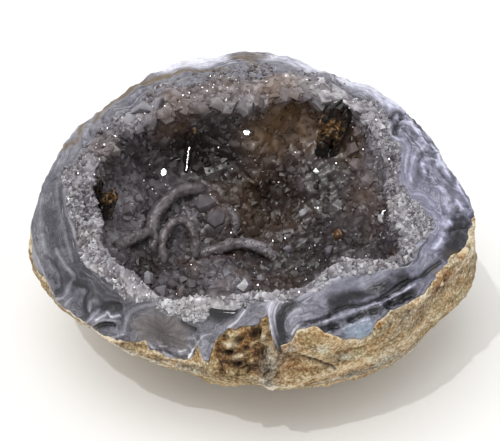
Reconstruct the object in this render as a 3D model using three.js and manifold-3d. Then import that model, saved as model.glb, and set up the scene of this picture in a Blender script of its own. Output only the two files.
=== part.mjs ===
// A druzy agate: one broken half of a hollow nodule, about 84 mm across, resting on its rounded underside.
// From outside to inside the wall is a tan matrix rind, a grey banded agate wall and a crust of small
// quartz crystals. Tubes of chalcedony and a few dark crystals stand on the crust inside the hollow.
import * as THREE from "three";
import { mergeVertices } from "three/addons/utils/BufferGeometryUtils.js";
import Module from "manifold-3d";

const wasm = await Module();
wasm.setup();

// Driving dimensions, in millimetres. Azimuths are in degrees, from +X at the right round by the back at 90.
const GIRTH_HEIGHT = 23; // centre of the egg-shaped outside, above the underside of the egg
const UPPER_REACH = 31; // half height of the egg above its girth
const FLAT_CUT = 1; // depth of the worn flat that the stone rests on
const FLAT_TAKEN = 0.8; // part of that depth within which the first ring of points stays
const FLOOR_HEIGHT = 12; // lowest point of the hollow
const WIDEST_BREAK = 112; // break angle of the high parts of the rim
const LIP_ANGLE = 104; // how far round the hollow's wall comes: past 90 it overhangs
const RIND_SHARE = 0.12; // of the wall's thickness
const CRUST_START = 0.72; // share of the wall's thickness where the quartz crust begins, inside
const RIM_BEGINS = 0.7; // share of the way up past which the crust thickens or thins towards its rim
const TOUCHING_GAP = 0.38; // left between two pieces that touch
const HOLLOW_MIDDLE = new THREE.Vector3(0, 0, 30);
const BOX_MIDDLE = { x: -0.2, y: 2.8 }; // centre of the finished stone's box

// The outside is an egg with this girth radius, broken off at breakAngle, measured from straight down. fall makes
// the lower half slimmer. The hollow's lip has its own radius and height, and agateEnd is the share of the broken
// wall, from outside, where the agate gives way to quartz.
const STATIONS = [
  { azimuth: 0, girth: 40.5, breakAngle: 112, fall: 1.0, lipRadius: 24.4, lipHeight: 34.0, agateEnd: 0.78 },
  { azimuth: 20, girth: 39.0, breakAngle: 110, fall: 1.0, lipRadius: 25.0, lipHeight: 35.0, agateEnd: 0.66 },
  { azimuth: 45, girth: 39.8, breakAngle: 112, fall: 1.0, lipRadius: 27.5, lipHeight: 35.5, agateEnd: 0.5 },
  { azimuth: 70, girth: 39.5, breakAngle: 113, fall: 1.0, lipRadius: 27.0, lipHeight: 36.0, agateEnd: 0.4 },
  { azimuth: 90, girth: 43.6, breakAngle: 113, fall: 1.0, lipRadius: 21.5, lipHeight: 35.5, agateEnd: 0.4 },
  { azimuth: 115, girth: 42.0, breakAngle: 112, fall: 1.0, lipRadius: 22.8, lipHeight: 35.5, agateEnd: 0.42 },
  { azimuth: 140, girth: 39.6, breakAngle: 112, fall: 1.0, lipRadius: 26.0, lipHeight: 35.5, agateEnd: 0.45 },
  { azimuth: 165, girth: 40.0, breakAngle: 112, fall: 1.0, lipRadius: 28.5, lipHeight: 34.5, agateEnd: 0.5 },
  { azimuth: 188, girth: 42.4, breakAngle: 105, fall: 1.1, lipRadius: 29.4, lipHeight: 34.0, agateEnd: 0.55 },
  { azimuth: 199, girth: 41.4, breakAngle: 98, fall: 1.5, lipRadius: 28.6, lipHeight: 33.7, agateEnd: 0.56 },
  { azimuth: 210, girth: 39.6, breakAngle: 92, fall: 1.9, lipRadius: 31.0, lipHeight: 33.5, agateEnd: 0.58 },
  { azimuth: 230, girth: 36.5, breakAngle: 86, fall: 1.4, lipRadius: 31.0, lipHeight: 32.6, agateEnd: 0.74 },
  { azimuth: 243, girth: 35.0, breakAngle: 84, fall: 1.18, lipRadius: 31.7, lipHeight: 31.6, agateEnd: 0.86 },
  { azimuth: 252, girth: 34.6, breakAngle: 83, fall: 1.12, lipRadius: 29.8, lipHeight: 32.2, agateEnd: 0.85 },
  { azimuth: 268, girth: 35.2, breakAngle: 92, fall: 1.45, lipRadius: 28.0, lipHeight: 33.0, agateEnd: 0.8 },
  { azimuth: 285, girth: 37.3, breakAngle: 101, fall: 1.3, lipRadius: 28.2, lipHeight: 33.5, agateEnd: 0.78 },
  { azimuth: 307, girth: 38.4, breakAngle: 102, fall: 0.78, lipRadius: 25.8, lipHeight: 34.0, agateEnd: 0.77 },
  { azimuth: 319, girth: 39.6, breakAngle: 104, fall: 0.82, lipRadius: 31.2, lipHeight: 34.0, agateEnd: 0.74 },
  { azimuth: 330, girth: 41.0, breakAngle: 106, fall: 1.1, lipRadius: 30.6, lipHeight: 34.0, agateEnd: 0.7 },
  { azimuth: 340, girth: 42.4, breakAngle: 107, fall: 1.1, lipRadius: 26.0, lipHeight: 34.0, agateEnd: 0.72 },
  { azimuth: 351, girth: 42.4, breakAngle: 109, fall: 1.0, lipRadius: 24.6, lipHeight: 34.0, agateEnd: 0.76 },
];

// At the front the agate is missing for a short way and crumbly matrix fills its place.
const NOTCH = { azimuth: 267, halfWidth: 7.5, edge: 3, share: 0.62, from: 0.45, full: 0.75 };
// Nodules of matrix in the notch, each at an azimuth, a share of the way up, a depth in the wall and a radius.
const NODULES = [
  [262.5, 1, 0.26, 1.5],
  [265.5, 1, 0.46, 1.3],
  [267.5, 1, 0.2, 1.7],
  [269, 1, 0.44, 1.5],
  [271, 1, 0.24, 1.9],
  [272.5, 0.95, 0.04, 1.9],
  [273.5, 0.88, 0, 1.7],
  [266, 0.95, 0.02, 1.6],
  [260.5, 0.96, 0, 1.3],
  [268.5, 0.84, 0, 1.4],
];

// Long waves that make the outside and the broken face lumpy: direction, wavelength and height.
const WAVES_BEGIN = { from: 0.15, full: 0.35 }; // shares of the way up: the flat has none
const OUTSIDE_WAVES = [
  { along: [0.8, 0.5, 0.33], length: 23, height: 0.3, phase: 4.4 },
  { along: [-0.45, 0.8, 0.4], length: 15, height: 0.25, phase: 4.1 },
  { along: [0.3, -0.4, 0.87], length: 11, height: 0.25, phase: 2.2 },
];
const BREAK_WAVES = [
  { along: [0.9, -0.2, 0.1], length: 9, height: 0.5, phase: 0.4 },
  { along: [0.35, 0.93, 0.1], length: 7.5, height: 0.45, phase: 3.0 },
];

// Swellings of the hollow's wall under the crystals, and one deeper pit. Each is a place, a height and a spread.
const MOUNDS = [
  { at: [11.2, 19.1, 19.0], height: 3.4, spread: 4.2 }, // broad mass at the back right
  { at: [1.3, 18.2, 19.5], height: 2.0, spread: 1.9 }, // knobs on the back wall
  { at: [0.9, 20.9, 24.5], height: 1.6, spread: 2.0 },
  { at: [5.4, 21.8, 21.5], height: 2.0, spread: 1.7 },
  { at: [-8.0, 11.0, 15.8], height: 4.0, spread: 4.2 }, // under the tubes
  { at: [-23.4, 8.1, 20.8], height: 2.0, spread: 2.2 }, // small knob on the left wall
  { at: [-5.1, -0.4, 12.2], height: 1.8, spread: 2.2 }, // lumps on the floor
  { at: [-1.7, -6.5, 12.6], height: 2.4, spread: 3.0 },
  { at: [17.0, 2.0, 15.5], height: 1.6, spread: 4.0 },
  { at: [3.0, 15.5, 16.3], height: -2.2, spread: 3.0 }, // the pit
];

const AZIMUTH_STEPS = 46;
const FINE_AZIMUTHS = { from: 254, to: 282, step: 3.5 }; // finer round the notch
const HIDDEN_ROWS = 6;
const OUTSIDE_ROWS = 9;
const CRUST_ROWS = 12;
const CRUST_ROUGHNESS = { height: 0.8, from: 0.1, full: 0.45 }; // how far its corners stand out, and from where up

// Quartz points: a height for their radius, and how much of it is sunk in what they grow from.
const QUARTZ = { slenderness: 2.1, sunk: 0.3 };
// Those in the hollow. deepest is their largest radius for the crust's thickness.
const CRYSTALS = { count: 78, smallest: 1.2, largest: 2.6, lowest: 0.05, highest: 0.98, lean: 0.45, deepest: 0.85 };
// Larger crystals on the broken edge of the crust, where it is thick at the back.
const RIM_CRYSTALS = { count: 18, from: 12, to: 172, radius: 1.5, shallow: 0.72, deep: 0.9, lean: 0.5 };

// Tubes of chalcedony, grown over with small crystals: a radius and the points that each passes through.
const TUBES = [
  {
    radius: 1.15, // tall arch at the left
    through: [
      [-18.6, 0.9, 15.2],
      [-19.4, 4.0, 17.8],
      [-18.7, 7.2, 19.4],
      [-16.8, 10.0, 20.6],
      [-13.8, 12.4, 21.0],
      [-10.6, 14.0, 20.2],
      [-8.0, 14.8, 18.0],
    ],
  },
  {
    radius: 0.95, // ring in front of it
    through: [
      [-16.9, -1.4, 14.4],
      [-17.2, 2.4, 17.4],
      [-15.6, 5.4, 18.6],
      [-13.0, 6.2, 18.6],
      [-11.2, 3.6, 17.2],
      [-11.0, 0.4, 14.4],
    ],
  },
  {
    radius: 1.05, // low arch on the floor
    through: [
      [-11.2, 2.4, 13.4],
      [-7.9, 3.4, 14.4],
      [-3.9, 4.8, 15.0],
      [-0.4, 4.8, 15.1],
      [2.2, 3.8, 14.7],
      [4.4, 1.6, 12.6],
    ],
  },
  {
    radius: 0.75, // hook between the arches
    through: [
      [-7.6, 12.9, 17.2],
      [-5.2, 11.0, 17.8],
      [-3.4, 8.6, 16.6],
      [-3.6, 6.6, 14.0],
    ],
  },
  {
    radius: 1.05, // stub on the left wall
    through: [
      [-26.0, -3.0, 20.0],
      [-22.6, 0.6, 19.4],
      [-19.2, 3.6, 18.2],
    ],
  },
];
const TUBE_SIDES = 8;
const TUBE_STEP = 2.2; // along the tube

// Groups of dark bladed crystals. A blade stands on its foot and points at its tip; across is the way it is widest.
const DARK_GROUPS = [
  {
    name: "dark_crystals_right",
    blades: [
      { foot: [13.0, 21.4, 23.6], tip: [16.6, 20.8, 35.0], width: 3.8, thickness: 1.3, across: [1, 0.3, 0] },
      { foot: [15.2, 20.2, 23.8], tip: [17.8, 20.2, 33.6], width: 2.2, thickness: 1.1, across: [0.2, 1, 0] },
      { foot: [14.4, 22.2, 26.0], tip: [15.4, 18.2, 21.4], width: 2.0, thickness: 1.4, across: [1, 0, 0] },
    ],
  },
  {
    name: "dark_crystals_back",
    blades: [
      { foot: [-13.1, 17.2, 20.4], tip: [-12.2, 18.0, 29.6], width: 1.6, thickness: 1.1, across: [1, 0.5, 0] },
      { foot: [-12.6, 18.8, 25.4], tip: [-10.6, 18.2, 32.4], width: 2.4, thickness: 1.6, across: [1, 0, 0.3] },
    ],
  },
  {
    name: "dark_crystals_left",
    blades: [
      { foot: [-30.4, 3.6, 25.8], tip: [-28.6, 0.8, 32.0], width: 2.6, thickness: 1.8, across: [0.3, 1, 0] },
      { foot: [-30.2, 3.8, 27.0], tip: [-26.2, 1.4, 28.0], width: 2.4, thickness: 1.8, across: [0.3, 1, 0.2] },
      { foot: [-30.0, 4.0, 26.4], tip: [-25.8, 1.6, 23.0], width: 2.2, thickness: 1.7, across: [0.2, 1, 0.3] },
    ],
  },
];

const GRAIN = { name: "rust_brown_grain", at: [16.0, 3.2, 17.4], radius: 0.85, stretch: 1.5 };

const COLOURS = {
  rind: 0xa08c70,
  agate: 0x77757f,
  crust: 0x59535a,
  dark: 0x1b1714,
  grain: 0x7a3f12,
};

const { degToRad, smoothstep, clamp, lerp } = THREE.MathUtils;

// A value of the stations at any azimuth: a smooth closed curve through all of them.
function aroundStone(azimuth, key) {
  const n = STATIONS.length;
  const turned = ((azimuth % 360) + 360) % 360;
  let i = STATIONS.findLastIndex((station) => station.azimuth <= turned);
  if (i < 0) i = n - 1;
  const at = (k) => STATIONS[(i + k + n) % n][key];
  const where = (k) => STATIONS[(i + k + n) % n].azimuth + 360 * Math.floor((i + k) / n);
  const span = where(1) - where(0);
  const t = (turned - where(0)) / span;
  const slopeHere = ((at(1) - at(-1)) / (where(1) - where(-1))) * span;
  const slopeNext = ((at(2) - at(0)) / (where(2) - where(0))) * span;
  const t2 = t * t;
  const t3 = t2 * t;
  return (
    (2 * t3 - 3 * t2 + 1) * at(0) +
    (t3 - 2 * t2 + t) * slopeHere +
    (3 * t2 - 2 * t3) * at(1) +
    (t3 - t2) * slopeNext
  );
}

function waves(point, list) {
  let sum = 0;
  for (const { along, length, height, phase } of list) {
    const run = point.x * along[0] + point.y * along[1] + point.z * along[2];
    sum += height * Math.sin((2 * Math.PI * run) / length + phase);
  }
  return sum;
}

// A repeatable number from 0 to 1 for a pair of whole numbers.
function scatter(i, j) {
  const value = Math.sin(i * 127.1 + j * 311.7) * 43758.5453;
  return value - Math.floor(value);
}

// The stone's outside. share runs from 0 under the middle to 1 at the broken edge.
function outsidePoint(azimuth, share) {
  const girth = aroundStone(azimuth, "girth");
  const angle = degToRad(aroundStone(azimuth, "breakAngle")) * share;
  const below = angle < Math.PI / 2;
  const spread = below ? Math.pow(Math.sin(angle), aroundStone(azimuth, "fall")) : Math.sin(angle);
  const reach = below ? GIRTH_HEIGHT : UPPER_REACH;
  const radius = girth * spread;
  const turn = degToRad(azimuth);
  const point = new THREE.Vector3(
    radius * Math.cos(turn),
    radius * Math.sin(turn),
    GIRTH_HEIGHT - reach * Math.cos(angle) - FLAT_CUT,
  );
  const outward = point.clone().sub(HOLLOW_MIDDLE).normalize();
  const lumpiness = smoothstep(share, WAVES_BEGIN.from, WAVES_BEGIN.full);
  point.addScaledVector(outward, lumpiness * waves(point, OUTSIDE_WAVES));
  point.z = Math.max(point.z, 0);
  return point;
}

// The hollow's bare wall, before the swellings. share runs from 0 on the floor to 1 at the lip, slowly at first,
// so that the lines through the wall stay square to it where the outside is broken off low.
function hollowPoint(azimuth, share) {
  const lipAngle = degToRad(LIP_ANGLE);
  const slowness = 1.25 + 0.03 * (WIDEST_BREAK - aroundStone(azimuth, "breakAngle"));
  const angle = lipAngle * Math.pow(share, slowness);
  const radius = (aroundStone(azimuth, "lipRadius") * Math.sin(angle)) / Math.sin(lipAngle);
  const climb = (1 - Math.cos(angle)) / (1 - Math.cos(lipAngle));
  const turn = degToRad(azimuth);
  return new THREE.Vector3(
    radius * Math.cos(turn),
    radius * Math.sin(turn),
    FLOOR_HEIGHT + (aroundStone(azimuth, "lipHeight") - FLOOR_HEIGHT) * climb,
  );
}

// A point in the wall: depth runs from 0 on the outside to 1 in the hollow.
function wallPoint(azimuth, share, depth) {
  const point = outsidePoint(azimuth, share).lerp(hollowPoint(azimuth, share), depth);
  const nearBreak = Math.pow(share, 8) * Math.sin(Math.PI * clamp(depth, 0, 1));
  point.z += waves(point, BREAK_WAVES) * nearBreak;
  return point;
}

function gapShare(azimuth, share) {
  return TOUCHING_GAP / outsidePoint(azimuth, share).distanceTo(hollowPoint(azimuth, share));
}

// How deep the matrix reaches into the wall: a thin rind, and most of the wall in the notch.
function rindDepth(azimuth, share) {
  const away = Math.abs(((azimuth - NOTCH.azimuth + 540) % 360) - 180);
  const across = 1 - smoothstep(away, NOTCH.halfWidth - NOTCH.edge, NOTCH.halfWidth + NOTCH.edge);
  return lerp(RIND_SHARE, NOTCH.share, across * smoothstep(share, NOTCH.from, NOTCH.full));
}

// Where the agate starts: the gap is kept on the notch's steep sides too.
function agateStart(azimuth, share) {
  const sideways = 0.6;
  const deepest = Math.max(...[-sideways, 0, sideways].map((turn) => rindDepth(azimuth + turn, share)));
  return deepest + gapShare(azimuth, share);
}

function agateDepth(azimuth, share) {
  return lerp(CRUST_START, aroundStone(azimuth, "agateEnd"), smoothstep(share, RIM_BEGINS, 1));
}

// The visible face of the crust: the hollow's wall moved towards its middle by the swellings.
function crustPoint(azimuth, share, roughness) {
  const point = hollowPoint(azimuth, share);
  const inward = HOLLOW_MIDDLE.clone().sub(point).normalize();
  let lift = roughness;
  for (const { at, height, spread } of MOUNDS) {
    const distance = point.distanceTo(new THREE.Vector3(...at));
    lift += height * Math.exp(-(distance * distance) / (2 * spread * spread));
  }
  return point.addScaledVector(inward, lift);
}

function azimuthList() {
  const list = [];
  for (let i = 0; i < AZIMUTH_STEPS; i++) {
    const azimuth = (360 * i) / AZIMUTH_STEPS;
    if (azimuth < FINE_AZIMUTHS.from || azimuth > FINE_AZIMUTHS.to) list.push(azimuth);
  }
  for (let a = FINE_AZIMUTHS.from; a <= FINE_AZIMUTHS.to; a += FINE_AZIMUTHS.step) list.push(a);
  return list.sort((a, b) => a - b);
}
const AZIMUTHS = azimuthList();

// Share of the way up where the worn flat ends, so that one row of points lies on its edge.
function flatShare(azimuth) {
  const edge = Math.acos(1 - (FLAT_TAKEN * FLAT_CUT) / GIRTH_HEIGHT);
  return edge / degToRad(aroundStone(azimuth, "breakAngle"));
}

// Rings of points from the underside up to the broken edge.
function ringsUp(rows, place) {
  return Array.from({ length: rows }, (_, row) =>
    AZIMUTHS.map((azimuth, column) => {
      const share = lerp(flatShare(azimuth), 1, row / (rows - 1));
      return place(azimuth, share, row, column);
    }),
  );
}

// Rings across the broken face, between two rings that are already there.
function ringsAcross(count, place) {
  return Array.from({ length: count }, (_, row) =>
    AZIMUTHS.map((azimuth) => place(azimuth, (row + 1) / (count + 1))),
  );
}

// A closed solid from rings that run up the outside, over the edge and down the inside. Both sides part their
// four-cornered faces along the same diagonal, so that two neighbours' hidden faces stay parallel.
function closedFromRings(up, over, down, firstPole, lastPole) {
  const rings = [...up, ...over, ...down.toReversed()];
  const turning = up.length + over.length;
  const columns = AZIMUTHS.length;
  const vertices = [firstPole, ...rings.flat(), lastPole];
  const last = vertices.length - 1;
  const id = (ring, column) => 1 + ring * columns + (column % columns);
  const index = [];
  for (let column = 0; column < columns; column++) {
    index.push(0, id(0, column + 1), id(0, column));
    index.push(id(rings.length - 1, column), id(rings.length - 1, column + 1), last);
    for (let ring = 0; ring < rings.length - 1; ring++) {
      const [a, b] = [id(ring, column), id(ring, column + 1)];
      const [c, d] = [id(ring + 1, column + 1), id(ring + 1, column)];
      if (ring < turning) index.push(a, b, c, a, c, d);
      else index.push(a, b, d, b, c, d);
    }
  }
  const geometry = new THREE.BufferGeometry().setFromPoints(vertices);
  geometry.setIndex(index);
  return geometry;
}

function solidFrom(geometry) {
  const bare = geometry.clone();
  bare.deleteAttribute("normal");
  bare.deleteAttribute("uv");
  const merged = mergeVertices(bare, 1e-4);
  return new wasm.Manifold(
    new wasm.Mesh({
      numProp: 3,
      vertProperties: merged.attributes.position.array,
      triVerts: new Uint32Array(merged.index.array),
    }),
  );
}

function geometryFrom(solid) {
  const mesh = solid.getMesh();
  const geometry = new THREE.BufferGeometry();
  geometry.setAttribute("position", new THREE.BufferAttribute(mesh.vertProperties, 3));
  geometry.setIndex(new THREE.BufferAttribute(mesh.triVerts, 1));
  geometry.computeVertexNormals();
  return geometry;
}

function largestPiece(solid) {
  return solid.decompose().reduce((best, piece) => (piece.volume() > best.volume() ? piece : best));
}

function nodule([azimuth, share, depth, radius], i) {
  const lump = new THREE.IcosahedronGeometry(radius, 0);
  lump.rotateX(Math.PI * scatter(i, 20));
  lump.rotateZ(Math.PI * scatter(i, 21));
  lump.translate(...wallPoint(azimuth, share, depth));
  return solidFrom(lump);
}

function makeRind() {
  const outside = ringsUp(OUTSIDE_ROWS, (azimuth, share) => wallPoint(azimuth, share, 0));
  const inside = ringsUp(HIDDEN_ROWS, (azimuth, share) => wallPoint(azimuth, share, rindDepth(azimuth, share)));
  const across = ringsAcross(1, (azimuth, part) => wallPoint(azimuth, 1, part * rindDepth(azimuth, 1)));
  const shell = closedFromRings(outside, across, inside, wallPoint(0, 0, 0), wallPoint(0, 0, rindDepth(0, 0)));
  return geometryFrom(wasm.Manifold.union([solidFrom(shell), ...NODULES.map(nodule)]));
}

function makeAgateWall() {
  const outside = ringsUp(HIDDEN_ROWS, (azimuth, share) => wallPoint(azimuth, share, agateStart(azimuth, share)));
  const inside = ringsUp(HIDDEN_ROWS, (azimuth, share) => wallPoint(azimuth, share, agateDepth(azimuth, share)));
  const across = ringsAcross(3, (azimuth, part) =>
    wallPoint(azimuth, 1, lerp(agateStart(azimuth, 1), agateDepth(azimuth, 1), part)),
  );
  return closedFromRings(
    outside,
    across,
    inside,
    wallPoint(0, 0, agateStart(0, 0)),
    wallPoint(0, 0, agateDepth(0, 0)),
  );
}

// A six-sided quartz point whose foot is sunk below the given place.
function crystalPoint(place, direction, radius, spin) {
  const height = radius * QUARTZ.slenderness;
  const geometry = new THREE.ConeGeometry(radius, height, 6, 1);
  geometry.rotateY(spin);
  geometry.applyQuaternion(new THREE.Quaternion().setFromUnitVectors(new THREE.Vector3(0, 1, 0), direction));
  const middle = place.clone().addScaledVector(direction, height * (0.5 - QUARTZ.sunk));
  geometry.translate(middle.x, middle.y, middle.z);
  return solidFrom(geometry);
}

// Thickness of the crust, measured towards the hollow's middle.
function crustThickness(azimuth, share) {
  const bare = hollowPoint(azimuth, share);
  const inward = HOLLOW_MIDDLE.clone().sub(bare).normalize();
  const wall = bare.clone().sub(outsidePoint(azimuth, share)).dot(inward);
  return wall * (1 - agateDepth(azimuth, share)) - TOUCHING_GAP;
}

// Crystals all over the hollow, none so large that its foot would reach through the crust.
function quartzPoints() {
  const golden = 137.508; // spreads them evenly round the hollow
  const { count, smallest, largest, lowest, highest, lean, deepest } = CRYSTALS;
  const all = Array.from({ length: count }, (_, i) => {
    const azimuth = (i * golden + 40 * scatter(i, 1)) % 360;
    const share = lerp(lowest, highest, Math.pow((i + 0.5) / count, 0.5));
    const place = crustPoint(azimuth, share, 0);
    const direction = HOLLOW_MIDDLE.clone().sub(place).normalize();
    direction.x += lean * (scatter(i, 2) - 0.5) * 2;
    direction.y += lean * (scatter(i, 3) - 0.5) * 2;
    direction.z += lean * scatter(i, 4);
    const wanted = lerp(smallest, largest, Math.pow(scatter(i, 5), 2));
    const radius = Math.min(wanted, deepest * crustThickness(azimuth, share));
    if (radius < smallest / 2) return [];
    return crystalPoint(place, direction.normalize(), radius, scatter(i, 6) * Math.PI);
  });
  return all.flat();
}

function rimCrystals() {
  const { count, from, to, radius, shallow, deep, lean } = RIM_CRYSTALS;
  return Array.from({ length: count }, (_, i) => {
    const azimuth = lerp(from, to, (i + 0.6 * scatter(i, 11)) / count);
    const place = wallPoint(azimuth, 1, lerp(shallow, deep, scatter(i, 12)));
    const inward = HOLLOW_MIDDLE.clone().sub(place).normalize();
    const direction = new THREE.Vector3(lean * inward.x, lean * inward.y, 1).normalize();
    return crystalPoint(place, direction, radius * lerp(0.8, 1.2, scatter(i, 13)), scatter(i, 14) * Math.PI);
  });
}

function makeCrust(sockets) {
  const start = (azimuth, share) => agateDepth(azimuth, share) + gapShare(azimuth, share);
  const hidden = ringsUp(HIDDEN_ROWS, (azimuth, share) => wallPoint(azimuth, share, start(azimuth, share)));
  const { height, from, full } = CRUST_ROUGHNESS;
  const seen = ringsUp(CRUST_ROWS, (azimuth, share, row, column) =>
    crustPoint(azimuth, share, height * scatter(row, column) * smoothstep(share, from, full)),
  );
  const rim = hidden[HIDDEN_ROWS - 1];
  const lip = seen[CRUST_ROWS - 1];
  const across = [rim.map((point, column) => point.clone().lerp(lip[column], 0.5))];
  across[0].forEach((point, column) => (point.z += height * scatter(CRUST_ROWS, column)));
  const shell = closedFromRings(hidden, across, seen, wallPoint(0, 0, start(0, 0)), crustPoint(0, 0, 0));
  const tubes = TUBES.map((tube) => solidFrom(tubeGeometry(tube)));
  const grown = wasm.Manifold.union([solidFrom(shell), ...quartzPoints(), ...rimCrystals(), ...tubes]);
  return geometryFrom(largestPiece(sockets.reduce((solid, socket) => solid.subtract(socket), grown)));
}

function tubeGeometry({ radius, through }) {
  const curve = new THREE.CatmullRomCurve3(through.map((p) => new THREE.Vector3(...p)));
  const section = new THREE.Shape();
  for (let i = 0; i < TUBE_SIDES; i++) {
    const turn = (2 * Math.PI * i) / TUBE_SIDES;
    const at = [radius * Math.cos(turn), radius * Math.sin(turn)];
    if (i === 0) section.moveTo(...at);
    else section.lineTo(...at);
  }
  const steps = Math.round(curve.getLength() / TUBE_STEP);
  return new THREE.ExtrudeGeometry(section, { steps, extrudePath: curve, bevelEnabled: false });
}

// One flat dark blade with a bevelled tip: a tapered six-sided bar, flattened. extra widens it for its socket.
function bladeSolid({ foot, tip, width, thickness, across }, extra) {
  const from = new THREE.Vector3(...foot);
  const along = new THREE.Vector3(...tip).sub(from);
  const length = along.length();
  const profile = [
    [0, 0],
    [0.4, 0],
    [0.5, 0.8 * length],
    [0.12, length],
    [0, length],
  ];
  const bar = new THREE.LatheGeometry(profile.map((corner) => new THREE.Vector2(...corner)), 6);
  const up = along.clone().normalize();
  const depth = new THREE.Vector3().crossVectors(new THREE.Vector3(...across), up).normalize();
  const side = new THREE.Vector3().crossVectors(up, depth).normalize();
  const place = new THREE.Matrix4().makeBasis(
    side.multiplyScalar(width + 2 * extra),
    up,
    depth.multiplyScalar(thickness + 2 * extra),
  );
  place.setPosition(from);
  return solidFrom(bar.applyMatrix4(place));
}

function darkGroup({ blades }, extra) {
  return blades.map((blade) => bladeSolid(blade, extra)).reduce((a, b) => a.add(b));
}

function grainGeometry(extra) {
  const geometry = new THREE.OctahedronGeometry(GRAIN.radius + extra, 0);
  geometry.scale(1, 0.9, GRAIN.stretch);
  geometry.translate(...GRAIN.at);
  return geometry;
}

function named(name, geometry, colour, roughness) {
  const material = new THREE.MeshStandardMaterial({ color: colour, roughness, metalness: 0, flatShading: true });
  const mesh = new THREE.Mesh(geometry, material);
  mesh.name = name;
  return mesh;
}

const stone = new THREE.Group();
const sockets = [
  ...DARK_GROUPS.map((group) => darkGroup(group, TOUCHING_GAP)),
  solidFrom(grainGeometry(TOUCHING_GAP)),
];
stone.add(named("matrix_rind", makeRind(), COLOURS.rind, 0.95));
stone.add(named("agate_wall", makeAgateWall(), COLOURS.agate, 0.3));
stone.add(named("quartz_crust", makeCrust(sockets), COLOURS.crust, 0.2));
for (const group of DARK_GROUPS) {
  stone.add(named(group.name, geometryFrom(darkGroup(group, 0)), COLOURS.dark, 0.35));
}
stone.add(named(GRAIN.name, grainGeometry(0), COLOURS.grain, 0.6));
stone.position.set(-BOX_MIDDLE.x, -BOX_MIDDLE.y, 0);

const part = new THREE.Group();
part.add(stone);
export default part;
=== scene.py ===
import bpy
import numpy as np
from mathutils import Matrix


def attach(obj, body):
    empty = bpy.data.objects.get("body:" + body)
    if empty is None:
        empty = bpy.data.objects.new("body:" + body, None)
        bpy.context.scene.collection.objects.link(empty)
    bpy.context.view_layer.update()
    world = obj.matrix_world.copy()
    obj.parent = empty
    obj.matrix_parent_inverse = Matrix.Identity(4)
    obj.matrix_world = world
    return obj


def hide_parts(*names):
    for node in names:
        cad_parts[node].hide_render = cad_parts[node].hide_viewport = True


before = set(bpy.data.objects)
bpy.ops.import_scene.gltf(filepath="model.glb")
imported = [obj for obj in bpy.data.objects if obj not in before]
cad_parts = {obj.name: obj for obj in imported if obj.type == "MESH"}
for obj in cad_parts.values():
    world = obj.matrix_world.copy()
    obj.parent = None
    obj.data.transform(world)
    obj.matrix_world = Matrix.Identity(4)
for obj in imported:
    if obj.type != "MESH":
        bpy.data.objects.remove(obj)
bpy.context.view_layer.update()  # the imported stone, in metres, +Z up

print("frame loaded:", len(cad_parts), "nodes")

# The stone is worked out in millimetres round the middle of its hollow, then put in the frame in metres.
mm = 0.001
stoneShift = np.array([0.2, -2.8, 0.0])
hollowMiddle = np.array([0.0, 0.0, 30.0])

wall = dict(
    girthHeight=23.0, upperReach=31.0, flatCut=1.0, arcShare=0.9,  # the outside is an egg, cut flat below
    lumpsBegin=(0.15, 0.35), roomBegin=(0.2, 0.5), roomEnd=(0.93, 1.0),  # shares of the way up
    lumps=[((0.8, 0.5, 0.33), 23, 0.3, 4.4), ((-0.45, 0.8, 0.4), 15, 0.25, 4.1), ((0.3, -0.4, 0.87), 11, 0.25, 2.2)],
    floorHeight=12.0, widestBreak=112.0, lipAngle=104.0, slowness=1.25, slower=0.03,  # the hollow is a bowl
    thinBegin=(0.45, 0.7), thinEnd=(0.94, 1.0),
    crustStart=0.72, crustWidens=0.7, waveFade=8,
    breakWaves=[((0.9, -0.2, 0.1), 9, 0.5, 0.4), ((0.35, 0.93, 0.1), 7.5, 0.45, 3.0)],
)
rimArc = 0.62  # mm of rim to a degree, near its middle
# azimuth from +X by the back, girth radius, break angle, fall, lip radius, lip height, share where the agate ends
wallStations = np.array([
    (0, 40.5, 112, 1.0, 24.4, 34.0, 0.78), (20, 39.0, 110, 1.0, 25.0, 35.0, 0.66),
    (45, 39.8, 112, 1.0, 27.5, 35.5, 0.5), (70, 39.5, 113, 1.0, 27.0, 36.0, 0.4),
    (90, 43.6, 113, 1.0, 21.5, 35.5, 0.4), (115, 42.0, 112, 1.0, 22.8, 35.5, 0.42),
    (140, 39.6, 112, 1.0, 26.0, 35.5, 0.45), (165, 40.0, 112, 1.0, 28.5, 34.5, 0.5),
    (188, 42.4, 105, 1.1, 29.4, 34.0, 0.55), (199, 41.4, 98, 1.5, 28.6, 33.7, 0.56),
    (210, 39.6, 92, 1.9, 31.0, 33.5, 0.58), (230, 36.5, 86, 1.4, 31.0, 32.6, 0.74),
    (243, 35.0, 84, 1.18, 31.7, 31.6, 0.86), (252, 34.6, 83, 1.12, 29.8, 32.2, 0.85),
    (268, 35.2, 92, 1.45, 28.0, 33.0, 0.8), (285, 37.3, 101, 1.3, 28.2, 33.5, 0.78),
    (307, 38.4, 102, 0.78, 25.8, 34.0, 0.77), (319, 39.6, 104, 0.82, 31.2, 34.0, 0.74),
    (330, 41.0, 106, 1.1, 30.6, 34.0, 0.7), (340, 42.4, 107, 1.1, 26.0, 34.0, 0.72),
    (351, 42.4, 109, 1.0, 24.6, 34.0, 0.76),
])
girth, breakAngle, fall, lipRadius, lipHeight, agateEnd = range(1, 7)

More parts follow.
